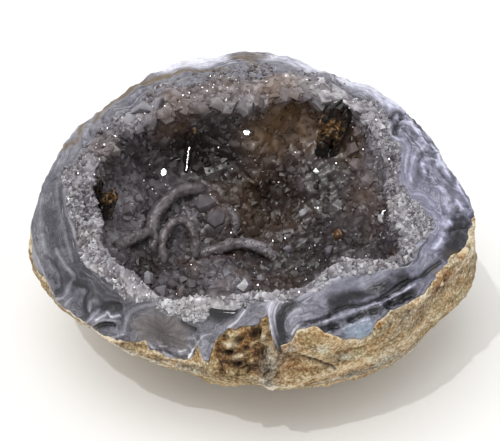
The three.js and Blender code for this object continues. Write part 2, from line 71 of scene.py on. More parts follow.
# swellings of the hollow's wall under the crystals, and one pit: place, height, spread
mounds = [
    ((11.2, 19.1, 19.0), 3.4, 4.2), ((1.3, 18.2, 19.5), 2.0, 1.9), ((0.9, 20.9, 24.5), 1.6, 2.0),
    ((5.4, 21.8, 21.5), 2.0, 1.7), ((-8.0, 11.0, 15.8), 4.0, 4.2), ((-23.4, 8.1, 20.8), 2.0, 2.2),
    ((-5.1, -0.4, 12.2), 1.8, 2.2), ((-1.7, -6.5, 12.6), 2.4, 3.0), ((17.0, 2.0, 15.5), 1.6, 4.0),
    ((3.0, 15.5, 16.3), -2.2, 3.0),
]


def smoothStep(value, start, end):
    # 0 before start, 1 after end, an S curve between
    t = np.clip((value - start) / (end - start), 0, 1)
    return t * t * (3 - 2 * t)


def lerp(a, b, t):
    return a + (b - a) * t


def unit(vectors):
    return vectors / np.maximum(np.linalg.norm(vectors, axis=-1, keepdims=True), 1e-9)


def alongTable(azimuth, column):
    # a closed smooth curve through the stations: cubic Hermite, each slope taken from the two neighbours
    places, values = wallStations[:, 0], wallStations[:, column]
    n = len(places)
    turned = np.mod(np.asarray(azimuth, float), 360)
    row = np.searchsorted(places, turned, side="right") - 1

    def at(k):
        return values[(row + k) % n]

    def where(k):
        return places[(row + k) % n] + 360 * np.floor_divide(row + k, n)

    span = where(1) - where(0)
    t = (turned - where(0)) / span
    slopeHere = (at(1) - at(-1)) / (where(1) - where(-1)) * span
    slopeNext = (at(2) - at(0)) / (where(2) - where(0)) * span
    rise = 3 * t**2 - 2 * t**3
    return at(0) * (1 - rise) + at(1) * rise + (t**3 - 2 * t**2 + t) * slopeHere + (t**3 - t**2) * slopeNext


def ringTable(azimuth, rows):
    # a closed curve through pairs of azimuth and value, straight between them
    table = np.array(rows, float)
    return np.interp(np.mod(azimuth, 360), table[:, 0], table[:, 1], period=360)


# How far the outside is drawn in to leave room for its relief, mm
reliefRoom = [
    (0, 0.5), (30, 0.5), (50, 0.8), (90, 0.7), (130, 0.8), (150, 0.4), (165, 0.8), (185, 1.4), (200, 1.1),
    (215, 1.1), (235, 0.7), (260, 0.4), (280, 1), (300, 0.7), (315, 0.8), (325, 1.3), (335, 1.4), (345, 1.1),
]


def waveSum(points, waves):
    # sum of height * sin(2 pi * distance along a direction / length + phase)
    return sum(height * np.sin(2 * np.pi * (points @ np.array(along)) / length + phase)
               for along, length, height, phase in waves)


def bellSum(points, bells):
    # sum of height * exp(-distance^2 / (2 spread^2)) over bells of place, height, spread
    return sum(height * np.exp(-((points - np.array(at)) ** 2).sum(-1) / (2 * spread**2))
               for at, height, spread in bells)


def outsidePoint(azimuth, share):
    # an egg of revolution: angle = share * break angle, radius girth * sin(angle)^fall, height climbs by
    # 1 - cos(angle); then moved out by the lumps and in by the room for relief
    azimuth, share = np.broadcast_arrays(azimuth, share)
    angle = np.radians(alongTable(azimuth, breakAngle)) * share
    below = angle < np.pi / 2
    sine = np.clip(np.sin(angle), 0, 1)
    radius = alongTable(azimuth, girth) * np.where(below, sine ** alongTable(azimuth, fall), sine)
    reach = np.where(below, wall["girthHeight"], wall["upperReach"])
    turn = np.radians(azimuth)
    height = wall["girthHeight"] - reach * np.cos(angle) - wall["flatCut"]
    points = np.stack([radius * np.cos(turn), radius * np.sin(turn), height], -1)
    lumpy = smoothStep(share, *wall["lumpsBegin"]) * waveSum(points, wall["lumps"])
    room = ringTable(azimuth, reliefRoom) * smoothStep(share, *wall["roomBegin"]) * (
        1 - smoothStep(share, *wall["roomEnd"]))
    points = points + unit(points - hollowMiddle) * (lumpy - room)[..., None]
    points[..., 2] = np.maximum(points[..., 2], 0)
    return points


def hollowPoint(azimuth, share):
    # a bowl: angle = lip angle * share^slowness, radius lip radius * sin(angle) / sin(lip angle), height climbs by
    # 1 - cos(angle); the lower the break, the slower the start
    azimuth, share = np.broadcast_arrays(azimuth, share)
    lip = np.radians(wall["lipAngle"])
    slowness = wall["slowness"] + wall["slower"] * (wall["widestBreak"] - alongTable(azimuth, breakAngle))
    angle = lip * share**slowness
    radius = alongTable(azimuth, lipRadius) * np.sin(angle) / np.sin(lip)
    climb = (1 - np.cos(angle)) / (1 - np.cos(lip))
    turn = np.radians(azimuth)
    height = lerp(wall["floorHeight"], alongTable(azimuth, lipHeight), climb)
    return np.stack([radius * np.cos(turn), radius * np.sin(turn), height], -1)


def wallPoint(azimuth, share, depth):
    # straight through the wall from outside (depth 0) to the hollow (depth 1), with waves near the broken face
    azimuth, share, depth = np.broadcast_arrays(azimuth, share, depth)
    points = lerp(outsidePoint(azimuth, share), hollowPoint(azimuth, share), depth[..., None])
    points[..., 2] += waveSum(points, wall["breakWaves"]) * share ** wall["waveFade"] * np.sin(
        np.pi * np.clip(depth, 0, 1))
    return points


thinWall = [(215, 0), (230, 1.7), (250, 1.7), (258, 1.4), (268, 0)]  # drawn in where the front is thin, mm


def crustPoint(azimuth, share):
    # the hollow's wall moved towards the middle by a sum of bell-shaped swellings, and drawn in where it is thin
    points = hollowPoint(azimuth, share)
    thin = ringTable(azimuth, thinWall) * smoothStep(share, *wall["thinBegin"]) * (
        1 - smoothStep(share, *wall["thinEnd"]))
    return points + unit(hollowMiddle - points) * (bellSum(points, mounds) + thin)[..., None]


def agateDepth(azimuth, share):
    # share of the wall's thickness where agate gives way to quartz
    return lerp(wall["crustStart"], alongTable(azimuth, agateEnd), smoothStep(share, wall["crustWidens"], 1))


def rimWidth(azimuth):
    # width of the broken face, mm
    return np.linalg.norm(outsidePoint(azimuth, 1.0) - hollowPoint(azimuth, 1.0), axis=-1)


def belowBreak(azimuth, share):
    # distance from the broken edge down the outside, mm, negative: about nine tenths of the arc of a circle
    arc = (1 - share) * alongTable(azimuth, girth) * np.radians(alongTable(azimuth, breakAngle))
    return -arc * wall["arcShare"]


def cellNumber(cells, seed):
    # a repeatable number from 0 to 1 for every whole-number cell
    n = (cells[..., 0] * 73856093) ^ (cells[..., 1] * 19349663) ^ (cells[..., 2] * 83492791) ^ (seed * 2654435)
    n = n & 0xFFFFFFFF
    n = ((n ^ (n >> 15)) * 2246822519) & 0xFFFFFFFF
    n = ((n ^ (n >> 13)) * 3266489917) & 0xFFFFFFFF
    return ((n ^ (n >> 16)) & 0xFFFFFF) / float(0xFFFFFF)


def softNoise(points, size, seed):
    # numbers at the corners of cubes of that size, blended smoothly between corners, from -1 to 1
    scaled = points / size
    cell = np.floor(scaled).astype(np.int64)
    t = scaled - cell
    t = t * t * t * (t * (6 * t - 15) + 10)
    total = np.zeros(points.shape[:-1])
    for corner in np.ndindex(2, 2, 2):
        c = np.array(corner)
        total += np.prod(np.where(c == 1, t, 1 - t), axis=-1) * cellNumber(cell + c, seed)
    return total * 2 - 1


def roughNoise(points, size, octaves, seed):
    # soft noise summed over sizes that halve, with heights that halve
    return sum(0.5**k * softNoise(points, size / 2**k, seed + 17 * k) for k in range(octaves))


def noiseBy(points, row):
    # rough noise times its height: the row is height, size in mm, how often that halves, seed
    height, size, octaves, seed = row
    return height * roughNoise(points, size, octaves, seed)


def blotches(points, row):
    # strength where a rough noise is high, nothing where it is low: the row is strength, size in mm, how often that
    # halves, seed, and the two levels that an S curve joins
    strength, size, octaves, seed, low, high = row
    return strength * smoothStep(roughNoise(points, size, octaves, seed), low, high)


def ridgeNoise(points, size, octaves, seed):
    # 1 - |noise| summed over sizes that halve: sharp crests between rounded hollows
    return sum(0.5**k * (0.5 - np.abs(softNoise(points, size / 2**k, seed + 31 * k))) for k in range(octaves))


def nearestDot(points, size, seed):
    # distance to the nearest of points scattered one in each cube, in cube sizes
    scaled = points / size
    cell = np.floor(scaled).astype(np.int64)
    nearest = np.full(points.shape[:-1], 9.0)
    for step in np.ndindex(3, 3, 3):
        other = cell + np.array(step) - 1
        at = other + np.stack([cellNumber(other, seed + k) for k in range(3)], -1)
        nearest = np.minimum(nearest, np.linalg.norm(scaled - at, axis=-1))
    return nearest


def crystalField(points, size, seed):
    # scattered points, each in a box of its own tilt: box distance to the nearest, the same to the second nearest,
    # and the nearest one's own number from 0 to 1
    scaled = points / size
    cell = np.floor(scaled).astype(np.int64)
    nearest = np.full(points.shape[:-1], 9.0)
    second, number = nearest.copy(), nearest * 0
    for step in np.ndindex(3, 3, 3):
        other = cell + np.array(step) - 1
        chance = [cellNumber(other, seed + k) for k in range(6)]
        x, y, z = np.moveaxis(scaled - other, -1, 0) - np.array(chance[:3])
        turn, tip = 2 * np.pi * chance[3], np.pi * chance[4]
        x, y = np.cos(turn) * x + np.sin(turn) * y, np.cos(turn) * y - np.sin(turn) * x
        y, z = np.cos(tip) * y + np.sin(tip) * z, np.cos(tip) * z - np.sin(tip) * y
        distance = np.maximum.reduce([np.abs(x), np.abs(y), np.abs(z)])
        second = np.minimum(second, np.maximum(nearest, distance))
        number = np.where(distance < nearest, chance[5], number)
        nearest = np.minimum(nearest, distance)
    return nearest, second, number


def localMean(values, reach):
    # mean over the rows and columns near by, round the closed ring
    rows = np.arange(len(values))
    down = sum(values[np.clip(rows + k, 0, len(values) - 1)] for k in range(-reach, reach + 1))
    return sum(np.roll(down, k, 1) for k in range(-reach, reach + 1)) / (2 * reach + 1) ** 2


def gridNormals(points, faceEnd):
    # cross product of the step round the stone and the step along the rows; the face's last row takes its neighbour's
    normals = unit(np.cross(np.roll(points, -1, 1) - np.roll(points, 1, 1), np.gradient(points, axis=0)))
    normals[faceEnd] = normals[faceEnd - 1]
    return normals


def softenCorner(points, corner, amount, width):
    # rows move towards the bell-weighted mean of the seven rows round them, as far as their closeness to a corner says
    rows = np.arange(len(points))
    steps = np.arange(-3, 4)
    weights = np.exp(-((steps / 1.8) ** 2) / 2)
    soft = sum(points[np.clip(rows + k, 0, len(rows) - 1)] * w for k, w in zip(steps, weights / weights.sum()))
    near = amount * np.exp(-(((rows - corner) / width) ** 2))
    return lerp(points, soft, near[:, None, None])


def frontDense(count, squeeze):
    # azimuths round the stone, closer together at the front, 270
    t = np.arange(count) / count
    return 270 + 360 * (t - squeeze * np.sin(2 * np.pi * t) / (2 * np.pi))


def layRows(s):
    # azimuths round the stone, and shares up the wall, across its broken face and down again
    azimuth = frontDense(s["columns"], s["squeeze"])[None, :]
    up = np.linspace(0, 1, s["outsideRows"] + 1)[1:, None]
    across = np.linspace(0, 1, s["rimRows"] + 1)[1:, None]
    down = np.linspace(1, 0, s["insideRows"] + 2)[1:-1, None]
    return azimuth, up, across, down


def linearColour(code):
    # an sRGB hex colour as linear numbers
    values = np.array([int(code[i : i + 2], 16) / 255 for i in (1, 3, 5)])
    return (*np.where(values <= 0.04045, values / 12.92, ((values + 0.055) / 1.055) ** 2.4), 1.0)


def addNode(tree, kind, inputs=None, output=0, stops=(), **settings):
    # a node with its settings; an input that is given a socket is linked, any other gets the value or hex colour;
    # returns the socket of one output
    node = tree.nodes.new("ShaderNode" + kind)
    for key, value in settings.items():
        setattr(node, key, value)
    for key, value in (inputs or {}).items():
        if isinstance(value, bpy.types.NodeSocket):
            tree.links.new(value, node.inputs[key])
        else:
            node.inputs[key].default_value = linearColour(value) if isinstance(value, str) else value
    for number, (place, colour) in enumerate(stops):
        elements = node.color_ramp.elements
        element = elements[number] if number < len(elements) else elements.new(place)
        element.position = place
        element.color = linearColour(colour)
    return node.outputs[output] if node.outputs else None


def startMaterial(name, *keys):
    # an empty material, and a socket for each attribute that it reads
    material = bpy.data.materials.new(name)
    material.use_nodes = True
    tree = material.node_tree
    tree.nodes.clear()
    return material, tree, {key: addNode(tree, "Attribute", output="Fac", attribute_name=key) for key in keys}


def finishMaterial(tree, inputs):
    addNode(tree, "OutputMaterial", {"Surface": addNode(tree, "BsdfPrincipled", inputs)})


def meshPiece(name, points, corners, sizes, smooth, attributes, material):
    # a mesh object in metres from points in the stone's millimetres, the corners of its faces and their counts
    mesh = bpy.data.meshes.new(name)
    mesh.vertices.add(len(points))
    mesh.vertices.foreach_set("co", ((points + stoneShift) * mm).astype(np.float32).ravel())
    mesh.loops.add(len(corners))
    mesh.loops.foreach_set("vertex_index", corners.astype(np.int32))
    mesh.polygons.add(len(sizes))
    mesh.polygons.foreach_set("loop_start", np.concatenate([[0], np.cumsum(sizes)[:-1]]).astype(np.int32))
    for key, values in attributes.items():
        mesh.attributes.new(key, "FLOAT", "POINT").data.foreach_set("value", np.asarray(values, np.float32).ravel())
    mesh.update(calc_edges=True)
    (mesh.shade_smooth if smooth else mesh.shade_flat)()
    mesh.materials.append(material)
    piece = bpy.data.objects.new(name, mesh)
    bpy.context.scene.collection.objects.link(piece)
    print(" ", name, len(points), "points,", int((sizes - 2).sum()), "triangles")
    return piece


def dress(piece, slotName, *nodes):
    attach(piece, "root")
    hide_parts(*nodes)


def shellFaces(rows, columns):
    # corners of a closed grid: a fan at the first pole, four-cornered faces, a fan at the last pole
    column = np.arange(columns)
    after = (column + 1) % columns
    ring = 1 + np.arange(rows)[:, None] * columns
    low = np.stack([np.zeros(columns, int), ring[0] + after, ring[0] + column], -1)
    quads = np.stack([ring[:-1] + column, ring[:-1] + after, ring[1:] + after, ring[1:] + column], -1)
    high = np.stack([ring[-1] + column, ring[-1] + after, np.full(columns, 1 + rows * columns)], -1)
    sizes = np.concatenate([np.full(columns, 3), np.full((rows - 1) * columns, 4), np.full(columns, 3)])
    return np.concatenate([low.ravel(), quads.ravel(), high.ravel()]), sizes


def shellPiece(name, points, smooth, attributes, material):
    # rows of points from one pole to the other; each pole is the mean of its nearest ring
    rows, columns = points.shape[:2]

    def withPoles(values):
        flat = values.reshape(rows * columns, -1)
        return np.concatenate([flat[:columns].mean(0, keepdims=True), flat, flat[-columns:].mean(0, keepdims=True)])

    corners, sizes = shellFaces(rows, columns)
    return meshPiece(name, withPoles(points), corners, sizes, smooth,
                     {key: withPoles(values) for key, values in attributes.items()}, material)


def smoothPath(through, count):
    # a curve through the points: cubic Hermite, each slope half the step between the neighbours
    p = np.array(through, float)
    p = np.concatenate([[2 * p[0] - p[1]], p, [2 * p[-1] - p[-2]]])
    spot = np.linspace(0, len(through) - 1, count)
    i = np.minimum(spot.astype(int), len(through) - 2)
    t = (spot - i)[:, None]
    a, b, c, d = p[i], p[i + 1], p[i + 2], p[i + 3]
    return 0.5 * (2 * b + (c - a) * t + (2 * a - 5 * b + 4 * c - d) * t**2 + (3 * b - a - 3 * c + d) * t**3)


def drawnLines(azimuth, fromEdge, lines):
    # sum of strength * exp(-(distance to a curve / half width)^2) in the unrolled face, and the least distance
    total = np.zeros(azimuth.shape)
    least = np.full(azimuth.shape, 9.0)
    for strength, half, through in lines:
        path = smoothPath(through, 5 * len(through) - 4)
        middle = path[:, 0].mean()
        along = np.mod(azimuth[0] - middle + 180, 360) - 180
        pick = np.abs(along) < np.ptp(path[:, 0]) / 2 + 6  # columns near enough to matter
        x = along[None, pick] * rimArc
        y = fromEdge[:, pick]
        nearest = np.full(y.shape, 1e6)
        ends = np.stack([(path[:, 0] - middle) * rimArc, path[:, 1]], -1)
        for (x0, y0), (x1, y1) in zip(ends[:-1], ends[1:]):
            dx, dy = x1 - x0, y1 - y0
            part = np.clip(((x - x0) * dx + (y - y0) * dy) / (dx**2 + dy**2 + 1e-9), 0, 1)
            nearest = np.minimum(nearest, (x - x0 - part * dx) ** 2 + (y - y0 - part * dy) ** 2)
        total[:, pick] += strength * np.exp(-nearest / half**2)
        least[:, pick] = np.minimum(least[:, pick], np.sqrt(nearest))
    return total, least


def patchSum(azimuth, fromEdge, patches, steep=1):
    # sum of strength * exp(-((across / half width)^2 + (up / half height)^2)^steep) over patches of the unrolled face
    total = np.zeros(azimuth.shape)
    for at, middle, halfWidth, halfHeight, strength in patches:
        across = (np.mod(azimuth - at + 180, 360) - 180) * rimArc
        total += strength * np.exp(-(((across / halfWidth) ** 2 + ((fromEdge - middle) / halfHeight) ** 2) ** steep))
    return total


# Where the rock's skin ends, mm from the broken edge: over 0 it laps onto the broken face, below 0 it stops short
skinEdge = [
    (0, -5.5), (20, -6.5), (60, -6), (120, -6), (165, -6), (180, -7), (196, -7.5), (206, -2.2), (214, 0.4),
    (222, -0.5), (230, 0.9), (237, 2.7), (239, 1), (245, 0.5), (248.5, 0.5), (251.8, 2), (252.6, 4.7), (254.5, 1.6),
    (257, 1), (258.2, 5.2), (262, 7.8), (267.5, 7.5), (271.5, 6.6), (274.4, 7.2), (275.4, 3.8), (276.5, 1.5),
    (278, 1.9), (281, 2.3), (282.5, 3.4), (285.5, 3.1), (287.5, 2.6), (290, 1.4), (292.5, 0.7), (294.8, -0.6),
    (295.8, -1.4), (302.3, -2.3), (303.2, 0.7), (307, 1.2), (309.5, 1.7), (314, 1), (318.5, 0.4), (323, 0.5),
    (327.5, 1.3), (333, 1.3), (337.5, 1.2), (341.5, 1), (345, 1.2), (347, 0.6), (349.5, 1), (351.5, -3),
]

# Noises that make the edge uneven: everywhere, and far up and down between the azimuths of the back
edgeNoise = dict(coarse=(0.3, 2.2, 3, 5), fine=(0.16, 0.6, 1, 9), atBack=(3.0, 11.0, 3, 6),
                 backFrom=[3, 22, 180, 196])


def skinCover(azimuth, fromEdge, points):
    # how far inside the skin a place is, mm: the edge's distance plus the noises, less the place's own
    atBack = np.interp(np.mod(azimuth, 360), edgeNoise["backFrom"], [0, 1, 1, 0])
    rough = noiseBy(points, edgeNoise["coarse"]) + noiseBy(points, edgeNoise["fine"])
    rough = rough + atBack * noiseBy(points, edgeNoise["atBack"])
    return ringTable(azimuth, skinEdge) + rough - fromEdge


# The crumbly place in the front wall: its azimuths, and the rest in mm
notch = dict(middle=267.2, halfWidth=7.0, edge=2.0, below=(-7, -2), wander=(1.2, 3.0, 1, 44), poreSize=1.9,
             poreDepth=0.6, sunk=0.7)


def inNotch(azimuth, fromEdge, points):
    # 1 inside the crumbly place in the front wall, 0 outside it
    away = np.abs(np.mod(azimuth - notch["middle"] + 540, 360) - 180) + noiseBy(points, notch["wander"])
    across = 1 - smoothStep(away, notch["halfWidth"], notch["halfWidth"] + notch["edge"])
    return across * smoothStep(fromEdge, *notch["below"])


# Knobs and hollows of the rock: azimuth, mm from the broken edge, half width, half height, height
rockKnobs = [
    (262.7, 4.7, 1.3, 0.8, 1.8), (266, 2.2, 1.5, 0.9, 2), (273.2, 3.9, 0.9, 1.1, 1.8), (269.6, 3.6, 0.9, 0.6, 1.4),
    (261, 2.6, 0.8, 0.6, 1.2), (264, -0.6, 1.2, 0.7, 1.4), (269.4, 0.6, 0.9, 0.7, 1.4), (266.8, -2.6, 1.2, 0.8, 1.3),
    (261.2, -1.8, 1, 0.8, 1.2), (274.2, 1.8, 0.8, 1, 1.2), (273.2, 0, 1.1, 1, 1.4), (275.3, -1.6, 0.9, 1, 1.2),
    (272.8, -2.6, 0.9, 1.1, 1.4), (275.2, -4.4, 1.1, 1.1, 1.3), (272.9, -5.4, 1, 1.2, 1.2), (275.8, -7, 0.9, 1.1, 1),
    (273.5, -8.8, 1.1, 1.4, 1.1), (275.2, -11.4, 1.1, 1.7, 1), (279, 0.5, 0.6, 0.4, 0.5), (264, 6.6, 1.6, 0.6, 0.6),
    (269.5, 7.2, 1.6, 0.6, 0.6), (261, 1, 0.7, 0.9, 0.7), (283.5, 1.6, 1.2, 0.8, 0.5), (299, -3.2, 1.4, 0.6, 0.4),
    (290, -3, 1.6, 0.7, 0.4), (304, -8, 2, 0.7, 0.4),
]
rockHollows = [
    (269.8, 5.3, 0.7, 0.6, 1.1), (271.5, 4.7, 0.5, 0.8, 1.3), (269, -1.1, 1, 0.8, 1.2), (262.2, 3.1, 0.9, 0.5, 1),
    (266, 5.6, 0.9, 0.45, 0.9), (268.4, 3.4, 0.6, 0.5, 1), (264.6, 0.7, 1.1, 0.6, 1), (267.2, -0.6, 0.8, 0.5, 0.9),
    (272.2, 1.2, 0.3, 1, 0.8), (276.8, 2.4, 0.3, 2, 1.2), (293, -5, 0.35, 0.35, 0.7), (327, -2.1, 1, 0.9, 0.5),
    (320.5, -7.2, 1.3, 0.3, 0.5), (281.5, -3.6, 1.2, 0.6, 0.6), (288, 0.6, 0.6, 0.4, 0.4),
    (273.6, -3.6, 0.35, 0.35, 0.7), (275.8, -3, 0.35, 0.35, 0.7), (274.5, -7.2, 0.5, 0.3, 0.8),
    (276.6, -5.6, 0.35, 0.35, 0.6), (242, 2.4, 0.8, 0.3, 0.4),
]
rockCracks = [(0.8, 0.28, [(282.0, -2.6), (283.0, -2.9), (286.0, -4.6), (289.5, -6.8), (293.0, -10.9)]),
              (0.4, 0.3, [(276.8, 4.4), (276.8, 2.0), (277.6, 0.4), (279.5, -1.2)])]
rockGrains = [(326.9, -1.9, 0.5, 0.45, 1.5), (337.5, 0.3, 0.7, 0.5, 0.9)]  # pale grains that sit in the rock
# Pits are shallow dents painted dark: painted shade that stands in for their depth
rockPits = [  # dark and shallow
    (327.6, -2.7, 1.6, 1.2, 1.3), (339, 0.2, 0.5, 0.5, 0.8), (311.5, -9, 1, 0.3, 0.7), (318, -6.5, 0.8, 0.3, 0.7),
    (297, -4.4, 0.7, 0.5, 0.8), (305, -5.5, 0.6, 0.3, 0.6),
]
# Rust-brown, grey and pale places of the rock, given like the knobs
rustPlaces = [
    (280.5, -4.6, 2.2, 1.6, 0.8), (284.5, -7, 2, 1.4, 0.7), (304.5, 0.4, 0.9, 0.5, 0.6), (308, -1.9, 1.2, 0.5, 0.7),
    (297, -4.7, 2.2, 0.7, 0.6), (290, -3.4, 2.4, 0.8, 0.4), (242, 2.5, 1.8, 0.5, 0.8), (226, 1.8, 1.4, 0.5, 0.6),
    (262, -3.2, 2.6, 1.4, 0.6), (327.4, -2, 2.6, 2.2, 1.2), (336, 0, 1.2, 0.8, 0.7), (312, -3.2, 0.8, 0.5, 0.8),
    (200, -5.5, 2, 0.6, 0.6), (318, -5, 2.6, 0.6, 0.4),
]
greyPlaces = [
    (311, -4.6, 2.6, 1, 0.4), (317.5, -7.6, 2, 0.9, 0.4), (274.2, -1, 1.9, 3.6, 0.8), (274.2, -8, 2.2, 4, 0.8),
    (280, 0.3, 1.4, 1.2, 0.8), (295, -6.6, 1.2, 1.4, 0.7), (333, -4, 2.4, 1.6, 0.4), (300, -17, 9, 3, 0.8),
    (262.7, 4.7, 1.2, 0.6, 0.3), (266, 2.2, 1.3, 0.6, 0.3), (346, -6, 4, 6, 0.4), (215, -4, 12, 5, 0.6),
    (288, -1, 1.6, 0.8, 0.5), (240, -3, 8, 3, 0.4), (322, -3, 7, 3, 0.45),
]
lightPlaces = [
    (322, -4, 9, 4, 0.02), (345, -2, 5, 4, 0.2), (297, -7, 6, 2.4, 0.06), (290, -3, 7, 4, 0.09),
    (252, -4, 7, 3, -0.16), (298, -11, 7, 1.6, 0.2), (285, -12, 5, 2, 0.16), (262.7, 4.7, 1.2, 0.7, 0.4),
    (266, 2.2, 1.3, 0.7, 0.4), (273.2, 3.9, 0.8, 0.9, 0.45), (269.6, 3.6, 0.8, 0.5, 0.25),
    (264, -0.6, 1.1, 0.6, 0.2), (269.4, 0.6, 0.8, 0.6, 0.2), (244, -4, 14, 2.4, 0.16), (215, -3, 10, 2, 0.2),
    (320, -12, 8, 2.4, 0.14), (274.4, -11, 1.8, 2.6, 0.3), (263.5, 6.7, 2.4, 1.8, 0.4),
]


# Volcanic matrix, broken by hand: dull tan grains in fine level streaks, rusty and grey places, no gloss; painted shade
# darkens its pores, cracks, hollows and pits.
def makeMatrixRock():
    material, tree, look = startMaterial("volcanic matrix, broken", "light", "grey", "rust", "hole")
    place = addNode(tree, "TexCoord", output="Object")
    level = addNode(tree, "VectorMath", {0: place, 1: (0.7, 0.7, 1.2)}, operation="MULTIPLY")
    streak = addNode(tree, "TexNoise", {"Vector": level, "Scale": 800, "Detail": 4, "Roughness": 0.75})  # 1.2 mm
    grit = addNode(tree, "TexNoise", {"Vector": place, "Scale": 2300, "Detail": 3, "Roughness": 0.8})  # 0.4 mm
    grains = addNode(tree, "TexVoronoi", {"Vector": place, "Scale": 1500})  # 0.7 mm
    hue = addNode(tree, "TexNoise", {"Vector": place, "Scale": 300, "Detail": 3})  # 3.3 mm
    value = look["light"]
    for pattern, weight in ((streak, 0.7), (grit, 1.0), (grains, -0.3)):
        value = addNode(tree, "Math", {0: pattern, 1: weight, 2: value}, operation="MULTIPLY_ADD")
    even = addNode(tree, "Math", {0: value, 1: 0.22}, operation="SUBTRACT")
    tan = addNode(tree, "ValToRGB", {"Fac": even}, stops=[
        (0.22, "#46321c"), (0.36, "#806644"), (0.5, "#ab946f"), (0.62, "#c4b18e"), (0.78, "#f1e8d4")])
    grey = addNode(tree, "ValToRGB", {"Fac": even}, stops=[
        (0.22, "#403b34"), (0.4, "#7f7a6e"), (0.55, "#a09b90"), (0.78, "#e4e0d8")])
    rust = addNode(tree, "ValToRGB", {"Fac": even}, stops=[
        (0.22, "#3a210c"), (0.42, "#7b4f22"), (0.58, "#a87940"), (0.78, "#dcb884")])
    warm = addNode(tree, "ValToRGB", {"Fac": hue}, stops=[(0.35, "#dbdccb"), (0.5, "#f1ece0"), (0.66, "#f6ddba")])
    colour = addNode(tree, "Mix", {0: 0.8, 6: tan, 7: warm}, 2, data_type="RGBA", blend_type="MULTIPLY")
    # hole: painted shade in the pores, cracks, hollows and pits, mixed towards near black
    for key, over in (("grey", grey), ("rust", rust), ("hole", "#24150a")):
        colour = addNode(tree, "Mix", {0: look[key], 6: colour, 7: over}, 2, data_type="RGBA")
    bump = addNode(tree, "Bump", {"Strength": 0.8, "Distance": 0.0004, "Height": value})
    finishMaterial(tree, {"Base Color": colour, "Roughness": 0.9, "IOR": 1.5, "Normal": bump})
    return material


# Heights and depths in mm: lap is how far it runs on under the agate, under how deep it lies there. Four numbers are a
# noise, six are blotches.
matrixRind = dict(
    columns=640, outsideRows=108, rimRows=26, insideRows=6, squeeze=0.45, dense=1.45, soften=0.8, softRows=2.5,
    lap=1.6, innerDepth=0.12, innerEdge=3.0, under=-1.3, proud=0.1, overlaps=(-0.5, 0.4), fadeRows=(2, 12),
    lumps=(0.36, 6.0, 3, 21), grit=(0.16, 0.8, 2, 57), ledgeShape=(0.4, 0.4, 1.4), ledge=(1, 2.0, 3, 27), ledges=0.1,
    chipBend=(0.4, 1.5, 1, 8), chipSize=2.6, chips=0.45, poreBend=(0.5, 1.1, 1, 8), poreEdge=(0.1, 0.45),
    wobbleAcross=(0.5, 0.9, 1, 91), wobbleUp=(0.3, 0.9, 1, 92), crackBend=(0.3, 1.0, 1, 93), knobs=0.75, grains=0.7,
    rustOfNotch=(0.6, 1.7, 1, 64, -0.9, 0.5), rust=(0.3, 5.0, 3, 65, 0.4, 0.9), grey=(0.3, 6.0, 3, 66, 0.2, 0.9),
    lightAll=0.04, lightEdge=0.3, lightLedge=0.08, lightChip=0.12, paintedBounceLight=0.06, lightNotch=0.19, lightGrain=0.6,
)


